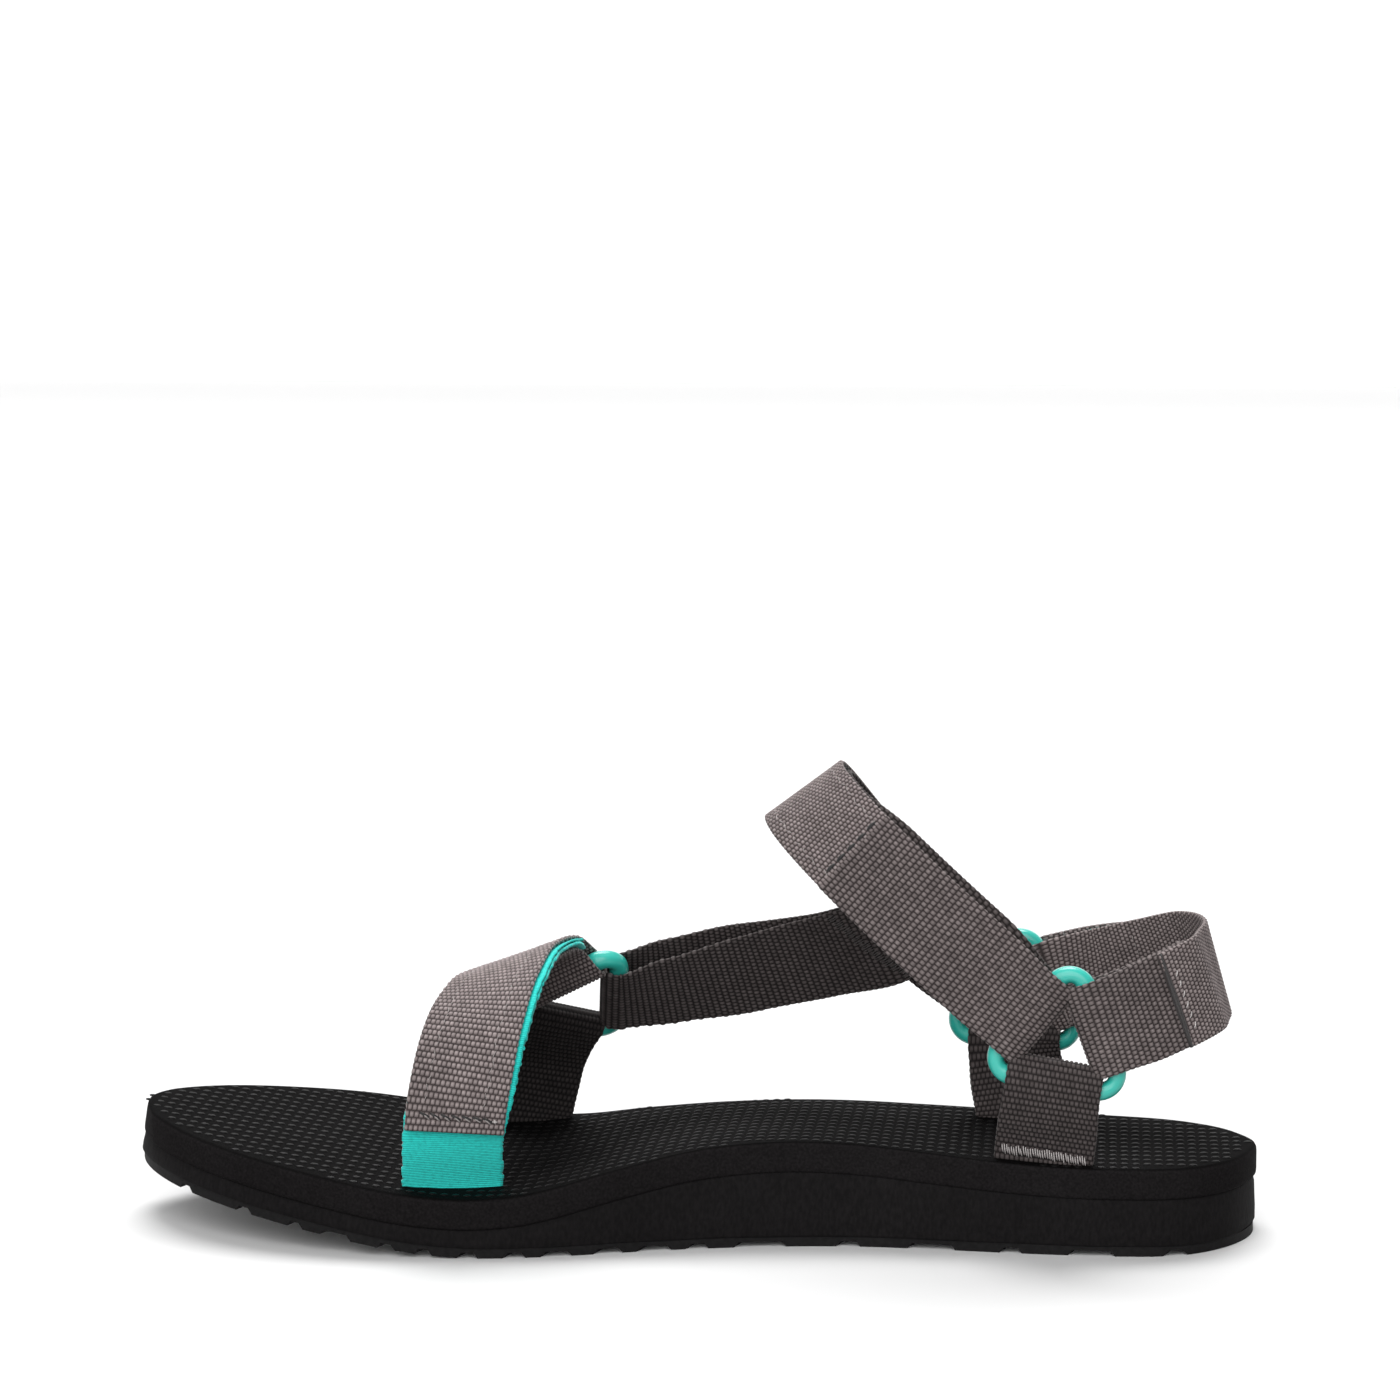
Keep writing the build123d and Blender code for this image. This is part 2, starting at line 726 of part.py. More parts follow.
def make_instep_strap():
    """From the fold on top, down round the medial ring, over the foot, and round the lateral ring."""
    end = total(INSTEP_ROUTE)
    outer = layer(INSTEP_ROUTE, instep_gap, -1, 0, INSTEP_HINGE - HINGE_GAP)
    inner = layer(INSTEP_ROUTE, negative(instep_gap), -1)
    back = layer(INSTEP_ROUTE, instep_gap, -1, end - LATERAL_RETURN, end)
    medial_wrap = around(RING_MEDIAL, "instep", -1)
    lateral_wrap = around(RING_LATERAL, "instep", 1)[::-1]
    stations = outer[::-1] + medial_wrap + inner + lateral_wrap + back[::-1]
    width = narrowed(RING_MEDIAL.bar("instep"), RING_LATERAL.bar("instep"))
    return band(stations, WEB_THICKNESS, width)


def make_instep_flap():
    """Free end of the instep strap, from the fold on top down the lateral side."""
    end = total(INSTEP_ROUTE) - LATERAL_RETURN - FLAP_SHORT_OF_RETURN
    stations = layer(INSTEP_ROUTE, instep_gap, -1, INSTEP_HINGE + HINGE_GAP, end)
    return band(stations, WEB_THICKNESS, plain(WEB_WIDTH))


def make_heel_ring_loop():
    """Short doubled loop on the medial ring that the heel strap is sewn over."""
    outer, inner = double_layer(HEEL_ROUTE, gap_from_ring(SEWN_GAP, 14), -1, HEEL_LOOP_END)
    stations = outer + around(RING_MEDIAL, "heel", -1) + inner
    return band(stations, WEB_THICKNESS, narrowed(RING_MEDIAL.bar("heel")))


def make_heel_strap():
    """From the seam on the medial side, round the heel, and round the lateral ring to the fold."""
    end = total(HEEL_ROUTE)
    main = layer(HEEL_ROUTE, heel_main_offset, -1, HEEL_SEAM, end)
    wrapped = around(RING_LATERAL, "heel", 1)
    back = layer(HEEL_ROUTE, heel_gap, -1, end - HEEL_HINGE + HINGE_GAP, end)
    stations = main + wrapped[::-1] + back[::-1]
    return band(stations, WEB_THICKNESS, narrowed(RING_LATERAL.bar("heel")))


def make_heel_flap():
    """Free end of the heel strap, folded back along the lateral side."""
    fold = total(HEEL_ROUTE) - HEEL_HINGE
    stations = layer(HEEL_ROUTE, heel_gap, -1, fold - HEEL_FLAP_LENGTH, fold - HINGE_GAP)
    return band(stations, WEB_THICKNESS, narrowed(RING_LATERAL.bar("heel")))


def make_connector():
    """Doubled strap along the lateral side, from the toe ring to the instep strap."""
    outer, inner = double_layer(CONNECTOR_ROUTE, connector_gap, 1)
    stations = outer + around(RING_TOE, "connector", 1) + inner
    return band(stations, WEB_THICKNESS, narrowed(RING_TOE.bar("connector")))


def tape(route, offset, outward, start, stop, width=TAPE_WIDTH):
    """A strip of hook or loop tape."""
    return band(layer(route, offset, outward, start, stop), TAPE_THICKNESS, plain(width))


def toe_tape(offset, stop):
    """A strip of tape under the toe flap, nearly as wide as the webbing."""
    return tape(TOE_ROUTE, offset, 1, TOE_TAPE_START, stop, TOE_TAPE_WIDTH)


# ---------------------------------------------------------------- the assembly
def main():
    os.makedirs("parts", exist_ok=True)
    anchors = list(ANCHORS.values())
    save(make_outsole(), "outsole")
    save(make_midsole(anchors), "midsole")
    save(make_topsole(anchors), "topsole")

    save(make_ring(RING_TOE), "toe_ring")
    save(make_ring(RING_MEDIAL), "ankle_ring_medial")
    save(make_ring(RING_LATERAL), "ankle_ring_lateral")

    save(anchor_loop(TOE_ANCHOR_ROUTE, RING_TOE, ANCHORS["toe_lateral"], 1), "toe_anchor_lateral")
    save(anchor_loop(HEEL_MEDIAL_ROUTE, RING_MEDIAL, ANCHORS["heel_medial"], -1), "heel_anchor_medial")
    save(anchor_loop(HEEL_LATERAL_ROUTE, RING_LATERAL, ANCHORS["heel_lateral"], 1), "heel_anchor_lateral")

    save(make_toe_strap(), "toe_strap")
    save(make_toe_flap(), "toe_flap")
    save(toe_tape(negative(under(toe_gap)), total(TOE_ROUTE)), "toe_loop_tape")
    save(toe_tape(under(toe_gap), TOE_FLAP_END - TAPE_INSET), "toe_hook_tape")

    save(make_connector(), "connector_strap")

    flap_end = total(INSTEP_ROUTE) - LATERAL_RETURN - FLAP_SHORT_OF_RETURN
    hook = under(instep_gap)
    save(make_instep_strap(), "instep_strap")
    save(make_instep_flap(), "instep_flap")
    save(
        tape(INSTEP_ROUTE, negative(hook), -1, INSTEP_HINGE, flap_end + TAPE_INSET),
        "instep_loop_tape",
    )
    save(
        tape(INSTEP_ROUTE, hook, -1, INSTEP_STITCH, INSTEP_HINGE - HINGE_GAP),
        "instep_hook_tape_fixed",
    )
    save(
        tape(INSTEP_ROUTE, hook, -1, INSTEP_HINGE + HINGE_GAP, flap_end - TAPE_INSET),
        "instep_hook_tape_flap",
    )

    fold = total(HEEL_ROUTE) - HEEL_HINGE
    flap_tip = fold - HEEL_FLAP_LENGTH
    hook = under(heel_gap)
    save(make_heel_ring_loop(), "heel_ring_loop")
    save(make_heel_strap(), "heel_strap")
    save(make_heel_flap(), "heel_flap")
    save(tape(HEEL_ROUTE, negative(hook), -1, flap_tip, fold - TAPE_INSET), "heel_loop_tape")
    save(tape(HEEL_ROUTE, hook, -1, flap_tip + TAPE_INSET, fold - TAPE_INSET), "heel_hook_tape")


main()
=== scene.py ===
"""Looks of the strappy sport sandal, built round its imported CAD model.

The toe points to -X, the medial side is -Y, Z is up.  Sizes are written in millimetres and turned into
metres where meshes are made.  Strap routes repeat the CAD model's keys.
"""

from math import cos, pi, radians, sin, sqrt

import bpy
import numpy as np
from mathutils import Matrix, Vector


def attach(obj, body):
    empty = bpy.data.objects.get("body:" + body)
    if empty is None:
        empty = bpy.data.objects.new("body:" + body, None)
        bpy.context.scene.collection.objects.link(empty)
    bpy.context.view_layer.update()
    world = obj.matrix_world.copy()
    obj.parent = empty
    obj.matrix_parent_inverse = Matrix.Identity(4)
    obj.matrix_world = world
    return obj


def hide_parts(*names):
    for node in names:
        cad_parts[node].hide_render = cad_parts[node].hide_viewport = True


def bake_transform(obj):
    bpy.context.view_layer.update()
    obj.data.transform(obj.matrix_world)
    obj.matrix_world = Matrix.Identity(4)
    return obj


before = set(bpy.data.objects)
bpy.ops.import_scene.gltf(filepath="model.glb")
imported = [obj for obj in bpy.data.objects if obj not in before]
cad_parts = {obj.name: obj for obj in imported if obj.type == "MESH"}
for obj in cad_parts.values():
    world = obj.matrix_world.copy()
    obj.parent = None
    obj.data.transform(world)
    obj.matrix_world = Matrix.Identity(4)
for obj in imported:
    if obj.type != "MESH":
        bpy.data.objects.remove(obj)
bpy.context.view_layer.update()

MM = 0.001

# ---- sizes shared with the CAD model
HALF_LENGTH = 128.5
BALL_HALF_WIDTH = 44.5
BAND_HALF_WIDTH = 55.0
TREAD_THICKNESS = 2.2
FOOTBED_THICKNESS = 7.0
TOE_SPRING_START = -39.5
TOE_SPRING_RADIUS = 175.0
TOE_SPRING_SLOPE = 0.166

WEB_WIDTH = 22.2
WEB_THICKNESS = 1.3
TAPE_WIDTH = 20.4
TAPE_THICKNESS = 0.7
LAYER_GAP = 0.1
TAB_RISE = 1.0
SLOT_ENTRY_RISE = 1.0
RING_BAR = 4.4
RING_INNER_SIDE = 25.0
RING_CLEARANCE = 0.25
BAR_OFFSET = (RING_INNER_SIDE + RING_BAR * sqrt(3)) / (2 * sqrt(3))
WRAP_RADIUS = RING_BAR / 2 + RING_CLEARANCE + WEB_THICKNESS / 2
SEWN_GAP = (WEB_THICKNESS + LAYER_GAP) / 2
TAPED_GAP = (WEB_THICKNESS + 2 * TAPE_THICKNESS + 3 * LAYER_GAP) / 2

# ---- widths a little unlike the CAD model's, and how far from a ring the webbing is gathered
WEB_WIDTH_AT_RING = 21.3
FINE_WIDTH = 21.9
INSTEP_TAPE_WIDTH = 19.4
TOE_TAPE_WIDTH = 22.6
GATHER_REACH = 9

# ---- steps along a route, and the straight lead of the key that steers its start
STATION_SPACING = 0.8
ROUTE_LEAD = 9

# ---- sizes of the weave
# a float of the weave is ROW long, and COLUMNS of them lie across the strap
ROW = 1.42
COLUMNS = 20
FINE_ROW = 1.1
FINE_COLUMNS = 22
CELL_STEPS = 4
WEAVE_HEIGHT = 0.4
FINE_HEIGHT = 0.32
EDGE_STEPS = 3
SELVAGE = 0.16

# ---- sizes of the tapes and the thread
HOOK_HEIGHT = 0.25
HOOK_PITCH = 1.25
HOOK_MARGIN = 0.9
HOOK_LEVELS = ((0.0, 0.2, 0.0), (0.7, 0.13, 0.0), (1.0, 0.17, 0.14))  # share of height, size, lean
RAGGED_STEP = 0.7
RAGGED_DEPTH = 0.45
FUZZ_DEPTH = 0.05
THREAD_SINK = 0.12
BARTACK_ABOVE_SEAM = 1.6


# ---- vectors and curves
def unit(v):
    """The vector v, or each row of v, with length 1."""
    v = np.asarray(v, float)
    return v / np.linalg.norm(v, axis=-1, keepdims=True)


def ease(t):
    """Smooth step from 0 to 1."""
    t = np.clip(t, 0.0, 1.0)
    return t * t * (3 - 2 * t)


def smooth(keys, steps=14):
    """Points and across directions of a Catmull-Rom curve through keys; the end keys only steer."""
    points, acrosses = [], []
    for i in range(1, len(keys) - 2):
        count = steps + (1 if i == len(keys) - 3 else 0)
        around = np.array([key[0] for key in keys[i - 1 : i + 3]], float)
        for t in np.arange(count) / steps:
            before = -t + 2 * t**2 - t**3
            here = 2 - 5 * t**2 + 3 * t**3
            following = t + 4 * t**2 - 3 * t**3
            beyond = t**3 - t**2
            points.append(np.array([before, here, following, beyond]) @ around / 2)
            this_across, next_across = np.array(keys[i][1], float), np.array(keys[i + 1][1], float)
            acrosses.append((1 - ease(t)) * this_across + ease(t) * next_across)
    return np.array(points), unit(acrosses)


def run_of(points):
    """Distance along a line of points."""
    return np.concatenate([[0.0], np.cumsum(np.linalg.norm(np.diff(points, axis=0), axis=1))])


def tangents(points):
    """Direction of travel at each point."""
    padded = np.vstack([points[:1], points, points[-1:]])
    return unit(padded[2:] - padded[:-2])


def square_to(direction, along):
    """Part of each direction that is square to along."""
    dot = np.sum(direction * along, axis=-1, keepdims=True)
    return unit(direction - along * dot)


def layer(route, gap, outward, start=0.0, stop=None, slide=None):
    """The part of a route from start to stop, moved out by gap(distance) and across by slide(distance)."""
    points, acrosses = route
    run = run_of(points)
    stop = run[-1] if stop is None else stop
    along = tangents(points)
    acrosses = square_to(acrosses, along)
    offset = gap(run) if callable(gap) else np.full(len(run), float(gap))
    moved = points + np.cross(acrosses, along) * outward * offset[:, None]
    if slide:
        moved = moved + acrosses * slide(run)[:, None]
    where = np.linspace(start, stop, max(int((stop - start) / STATION_SPACING), 3))
    return resampled(moved, acrosses, run, where)


def resampled(points, acrosses, run, where):
    """Points and across directions at given distances."""
    new_points = np.column_stack([np.interp(where, run, points[:, k]) for k in range(3)])
    new_acrosses = np.column_stack([np.interp(where, run, acrosses[:, k]) for k in range(3)])
    return new_points, unit(new_acrosses)


def joined(*pieces):
    """Several stretches, one after the other."""
    return np.vstack([p for p, _ in pieces]), np.vstack([a for _, a in pieces])


def backwards(piece):
    """A stretch, travelled the other way."""
    return piece[0][::-1], piece[1][::-1]


# ---- rings
class RingFrame:
    """Place of a ring: centre, two directions in its plane, the bar at each of three angles, and
    how slack the webbing's wraps are inside it.
    """

    def __init__(self, centre, right, up, angles, slack):
        self.centre = np.array(centre, float)
        self.right = unit(right)
        self.up = square_to(np.array(up, float), self.right)
        self.angles = angles
        self.slack = slack

    def away(self, name):
        """Direction from the centre to a bar."""
        angle = radians(self.angles[name])
        return self.right * cos(angle) + self.up * sin(angle)

    def across(self, name):
        """Direction along a bar."""
        angle = radians(self.angles[name])
        return self.up * cos(angle) - self.right * sin(angle)

    def bar(self, name):
        return self.centre + self.away(name) * BAR_OFFSET


ANKLE_LEAN = radians(3)
RING_MEDIAL = RingFrame(
    (84.2, -28.5, 48.4),
    (1, 0, 0),
    (0, sin(ANKLE_LEAN), cos(ANKLE_LEAN)),
    {"heel": 20.4, "instep": 140.4, "sole": 260.4},
    1.8,
)
RING_LATERAL = RingFrame(
    (73.3, 26.5, 46.9),
    (1, 0, 0),
    (0, -sin(ANKLE_LEAN), cos(ANKLE_LEAN)),
    {"heel": 26.4, "instep": 146.4, "sole": 266.4},
    1.8,
)
RING_TOE = RingFrame(
    (-29.1, 23.7, 46.2),
    (0.963, 0.244, 0.107),
    (0.09, -0.68, 0.73),
    {"connector": 0, "toe": 120, "sole": 240},
    0.7,
)


def around(ring, name, outward, steps=24):
    """The slightly slack wrap from a ring bar's outer face, through the ring, to its inner face."""
    away = ring.away(name)
    across = ring.across(name)
    normal = np.cross(across, away) * outward
    angles = np.pi * np.arange(1, steps) / steps
    sideways = np.outer(np.cos(angles), normal) * WRAP_RADIUS
    inward = np.outer(np.sin(angles), away) * (WRAP_RADIUS + ring.slack)
    return ring.bar(name) + sideways - inward, np.tile(across, (steps - 1, 1))


def narrowed(*bars):
    """Webbing width, gathered where it goes round a ring bar."""

    def width(points):
        nearest = np.min([np.linalg.norm(points - bar, axis=1) for bar in bars], axis=0)
        spread = ease((nearest - WRAP_RADIUS) / GATHER_REACH)
        return WEB_WIDTH_AT_RING + (WEB_WIDTH - WEB_WIDTH_AT_RING) * spread

    return width


# ---- sole surfaces
MEDIAL_EDGE = [
    (-124, -13), (-112, -27), (-95, -37), (-72, -43.5), (-50, -44.5), (-30, -41.3),
    (-8, -34), (14, -28.3), (40, -25.5), (70, -28), (95, -29.5), (112, -27), (123, -17),
]  # fmt: skip
LATERAL_EDGE = [
    (125, 12), (117, 21), (104, 26.8), (80, 29.3), (45, 30.7), (10, 33.5), (-22, 38.5),
    (-45, 43), (-65, 44.5), (-82, 42), (-98, 34.8), (-112.5, 24.8), (-123, 12.8),
]  # fmt: skip
MEDIAL_THICKNESS = [
    (-133, 13.1), (-60, 12.9), (-40, 13.6), (-30, 15.1), (-13, 19.6), (3.5, 23.7),
    (21, 25.4), (37, 24.7), (54, 22.7), (71, 20.9), (89, 20.0), (133, 20.1),
]  # fmt: skip
LATERAL_THICKNESS = [
    (-133, 14.3), (-57, 14.5), (-32, 14.8), (-13, 17.2), (8, 19.1), (30, 20.2),
    (52, 20.3), (75, 19.9), (100, 19.3), (133, 19.2),
]  # fmt: skip


def ground(x):
    """Height of the underside, which lifts in front of the ball of the foot."""
    x = np.asarray(x, float)
    bend = TOE_SPRING_RADIUS * TOE_SPRING_SLOPE
    ahead = np.clip(TOE_SPRING_START - x, 0, None)
    curved = np.minimum(ahead, bend) ** 2 / (2 * TOE_SPRING_RADIUS)
    return curved + np.clip(ahead - bend, 0, None) * TOE_SPRING_SLOPE


def smooth_table(table):
    """A dense copy of a table of (x, value), rounded through its points."""
    first, last = table[0], table[-1]
    keys = [(2 * first[0] - table[1][0], first[1])] + table + [(2 * last[0] - table[-2][0], last[1])]
    points, _ = smooth([((x, value, 0), (0, 0, 1)) for x, value in keys], 12)
    return points[:, 0], points[:, 1]


MEDIAL_CURVE = smooth_table(MEDIAL_THICKNESS)
LATERAL_CURVE = smooth_table(LATERAL_THICKNESS)


def footbed_top(x, y):
    """Height of the footbed."""
    share = (np.asarray(y, float) + BAND_HALF_WIDTH) / (2 * BAND_HALF_WIDTH)
    return ground(x) + np.interp(x, *MEDIAL_CURVE) * (1 - share) + np.interp(x, *LATERAL_CURVE) * share


def sole_outline():
    """Closed plan shape of the sole, smooth through its points."""
    corners = [(-HALF_LENGTH, 0)] + MEDIAL_EDGE + [(HALF_LENGTH, 0)] + LATERAL_EDGE
    ring = corners[-1:] + corners + corners[:2]
    points, _ = smooth([((x, y, 0), (0, 0, 1)) for x, y in ring], 14)
    return points[:-1, :2]


OUTLINE = sole_outline()


# ---- anchors in the sole
class Anchor:
    """Where a strap enters the footbed."""

    def __init__(self, x, y, across, inward):
        self.top = np.array((x, y, float(footbed_top(x, y))))
        self.across = self.along_footbed(across)
        self.inward = square_to(self.along_footbed(inward), self.across)
        self.up = np.cross(self.across, self.inward)
        if self.up[2] < 0:
            self.up = -self.up
        self.seam = self.top - self.up * FOOTBED_THICKNESS

    def along_footbed(self, direction):
        """A level direction, tilted to follow the footbed."""
        reach = WEB_WIDTH / 2
        x, y = self.top[:2]
        dx, dy = direction
        rise = footbed_top(x + dx * reach, y + dy * reach) - footbed_top(x - dx * reach, y - dy * reach)
        return unit((dx, dy, rise / (2 * reach)))

    def slot_keys(self):
        """The last keys of a route, which goes straight down into the slot."""
        entry = self.top + self.up * SLOT_ENTRY_RISE
        tab = self.seam + self.up * TAB_RISE
        beyond = self.seam - self.up * FOOTBED_THICKNESS
        return [(point, self.across) for point in (entry, tab, beyond)]


ANCHORS = {
    "toe_medial": Anchor(-51.0, -34.3, (-0.965, -0.256), (0, 1)),
    "toe_lateral": Anchor(-42.9, 33.2, (0.955, 0.297), (0, -1)),
    "heel_medial": Anchor(80.6, -24.4, (0.994, -0.11), (0, 1)),
    "heel_lateral": Anchor(75.2, 20.5, (0.998, 0.06), (0, -1)),
}


# ---- strap routes
def from_bar(ring, name):
    """The first keys of a route that leaves a ring bar."""
    across = ring.across(name)
    return [(ring.bar(name) - ring.away(name) * ROUTE_LEAD, across), (ring.bar(name), across)]


def to_bar(ring, name):
    return from_bar(ring, name)[::-1]


TOE_ROUTE = smooth(
    from_bar(RING_TOE, "toe")
    + [
        ((-36.6, 9.5, 57.0), (-0.90, 0.10, -0.42)),
        ((-40.3, -4.0, 59.2), (-0.93, 0.05, -0.34)),
        ((-43.3, -17.5, 57.0), (-0.96, 0.0, -0.25)),
        ((-46.2, -29.5, 49.8), (-0.985, -0.05, -0.16)),
        ((-48.6, -36.8, 38.5), (-0.99, -0.12, -0.08)),
        ((-50.2, -38.2, 27.0), (-0.98, -0.2, -0.02)),
    ]
    + ANCHORS["toe_medial"].slot_keys()
)
TOE_ANCHOR_ROUTE = smooth(
    from_bar(RING_TOE, "sole")
    + [((-38.4, 31.5, 31.7), (0.87, 0.45, -0.18)), ((-41.0, 33.0, 23.5), (0.93, 0.35, -0.05))]
    + ANCHORS["toe_lateral"].slot_keys()
)
CONNECTOR_ROUTE = smooth(
    from_bar(RING_TOE, "connector")
    + [
        ((-7.0, 28.6, 49.6), (-0.04, -0.60, 0.80)),
        ((11.0, 29.2, 53.0), (-0.22, -0.45, 0.86)),
        ((27.0, 26.2, 56.4), (-0.42, -0.32, 0.84)),
        ((39.5, 22.2, 60.0), (-0.57, -0.16, 0.80)),
        ((46.0, 21.6, 63.2), (-0.60, -0.05, 0.79)),
        ((52.0, 21.0, 66.0), (-0.60, -0.05, 0.79)),
    ]
)
INSTEP_TOP = np.array((26.1, 0, 98.4))
INSTEP_TOP_ACROSS = np.array((-0.80, 0.0, -0.60))


def arch_to_top(angle):
    """A key on the medial rise to the top of the instep strap, an upright quarter of an ellipse."""
    bar = RING_MEDIAL.bar("instep")
    climb = sin(radians(angle))
    across = RING_MEDIAL.across("instep") * (1 - climb) + INSTEP_TOP_ACROSS * climb
    x, _, z = bar + (INSTEP_TOP - bar) * climb
    return ((x, bar[1] * cos(radians(angle)), z), unit(across))


INSTEP_ROUTE = smooth(
    from_bar(RING_MEDIAL, "instep")
    + [arch_to_top(angle) for angle in (15, 30, 45, 60, 75)]
    + [
        (INSTEP_TOP, INSTEP_TOP_ACROSS),
        ((27.5, 9.5, 95.5), (-0.78, 0.0, -0.62)),
        ((32.5, 18.5, 87.5), (-0.74, 0.0, -0.67)),
        ((40.5, 24.6, 76.0), (-0.68, 0.0, -0.73)),
        ((52.0, 27.6, 62.5), (-0.62, 0.0, -0.78)),
    ]
    + to_bar(RING_LATERAL, "instep")
)
HEEL_ROUTE = smooth(
    from_bar(RING_MEDIAL, "heel")
    + [
        ((104.0, -25.0, 55.2), (-0.33, 0.06, 0.94)),
        ((115.0, -15.8, 59.2), (-0.30, 0.03, 0.95)),
        ((119.8, 0.0, 61.2), (-0.26, 0.0, 0.966)),
        ((115.2, 15.5, 60.4), (-0.32, -0.03, 0.95)),
        ((104.5, 24.4, 56.8), (-0.36, -0.06, 0.93)),
        ((93.5, 27.6, 53.6), (-0.40, -0.1, 0.91)),
    ]
    + to_bar(RING_LATERAL, "heel")
)
HEEL_MEDIAL_ROUTE = smooth(
    from_bar(RING_MEDIAL, "sole")
    + [((81.6, -28.3, 30.5), (0.99, -0.05, -0.06))]
    + ANCHORS["heel_medial"].slot_keys()
)
HEEL_LATERAL_ROUTE = smooth(
    from_bar(RING_LATERAL, "sole")
    + [((73.4, 26.0, 30.0), (0.998, 0.03, -0.03))]
    + ANCHORS["heel_lateral"].slot_keys()
)

# distances along the routes, from the first ring bar
TOE_HINGE = 8.0
TOE_FLAP_END = 77.5
TOE_TAPE_START = 10.0
INSTEP_STITCH = 54.0
INSTEP_HINGE = 81.0
LATERAL_RETURN = 18.0
FLAP_SHORT_OF_RETURN = 5.0
HEEL_SEAM = 16.8
HEEL_LOOP_END = 26.0
TAPE_INSET = 2.0
HEEL_HINGE = 8.0
HEEL_FLAP_LENGTH = 29.0
FOLD_REACH = 3.0

# how far some layers stand out from under the ones over them
TOE_TAPE_SHOW = 0.9
INSTEP_LAYER_SHOW = 1.6
HEEL_FLAP_DROP = 1.3


def total(route):
    return run_of(route[0])[-1]


INSTEP_TOTAL = total(INSTEP_ROUTE)
HEEL_TOTAL = total(HEEL_ROUTE)
INSTEP_FLAP_END = INSTEP_TOTAL - LATERAL_RETURN - FLAP_SHORT_OF_RETURN
HEEL_FOLD = HEEL_TOTAL - HEEL_HINGE


def ring_gap(where, rest, reach):
    """Half the distance between two layers: wide at the ring, rest beyond reach."""
    return rest + (WRAP_RADIUS - rest) * (1 - ease(where / reach))


def toe_gap(where):
    return ring_gap(where, TAPED_GAP, 14)


def sewn_gap(where):
    return ring_gap(where, SEWN_GAP, 14)


def instep_gap(where):
    return ring_gap(np.minimum(where, INSTEP_TOTAL - where), TAPED_GAP, 18)


def heel_gap(where):
    return ring_gap(HEEL_TOTAL - where, TAPED_GAP, 14)


def connector_gap(where):
    return SEWN_GAP + (WRAP_RADIUS - SEWN_GAP) * (1 - ease((where - 22) / 32))


def heel_main_offset(where):
    over_loop = (SEWN_GAP + WEB_THICKNESS + LAYER_GAP) * (1 - ease((where - HEEL_LOOP_END) / 9))
    return over_loop - heel_gap(where) * ease((where - HEEL_LOOP_END - 8) / 14)


def negative(gap):
    return lambda where: -gap(where)


def under(gap):
    """Offset of a tape under the outer layer."""
    return lambda where: gap(where) - (WEB_THICKNESS + TAPE_THICKNESS) / 2 - LAYER_GAP


# ---- meshes
def new_object(name, vertices, faces):
    """A smooth mesh object, from vertices in millimetres."""
    mesh = bpy.data.meshes.new(name)
    mesh.from_pydata((np.asarray(vertices) * MM).tolist(), [], faces)
    mesh.polygons.foreach_set("use_smooth", np.ones(len(mesh.polygons), bool))
    mesh.update()
    piece = bpy.data.objects.new(name, mesh)
    bpy.context.scene.collection.objects.link(piece)
    return piece


def vertex_values(piece, name, values):
    """Store a number at each vertex for the materials."""
    attribute = piece.data.attributes.new(name, "FLOAT", "POINT")
    attribute.data.foreach_set("value", np.asarray(values, np.float32))


def add_uv(piece, pairs):
    """Store a pair of distances in metres at each vertex as the UV map."""
    layer_uv = piece.data.uv_layers.new(name="UVMap")
    corners = np.empty(len(piece.data.loops), int)
    piece.data.loops.foreach_get("vertex_index", corners)
    layer_uv.data.foreach_set("uv", (np.asarray(pairs) * MM)[corners].astype(np.float32).ravel())


def tube_faces(rows, around_count):
    """Faces of a closed tube of rows of vertices, with its two ends filled."""
    grid = np.arange(rows * around_count).reshape(rows, around_count)
    turned = np.roll(grid, -1, axis=1)
    quads = np.stack([grid[:-1], turned[:-1], turned[1:], grid[1:]], axis=-1).reshape(-1, 4).tolist()
    return quads + [grid[0][::-1].tolist(), grid[-1].tolist()]


def hashed(i, j, seed=0.0):
    """A repeatable random number from 0 to 1 for each pair of whole numbers."""
    value = np.sin(i * 12.9898 + j * 78.233 + seed * 37.719) * 43758.5453
    return value - np.floor(value)


def weave_height(rows, columns):
    """Height from 0 to 1 of the staggered floats of the weave, and a random number for each float."""
    row = np.floor(rows)
    shifted = columns + 0.5 * np.mod(row, 2)
    column = np.floor(shifted)
    across_row = np.abs(np.sin(pi * (rows - row)))
    along_row = np.abs(np.sin(pi * (shifted - column)))
    height = across_row**0.8 * along_row**0.32
    return height, hashed(row, column)


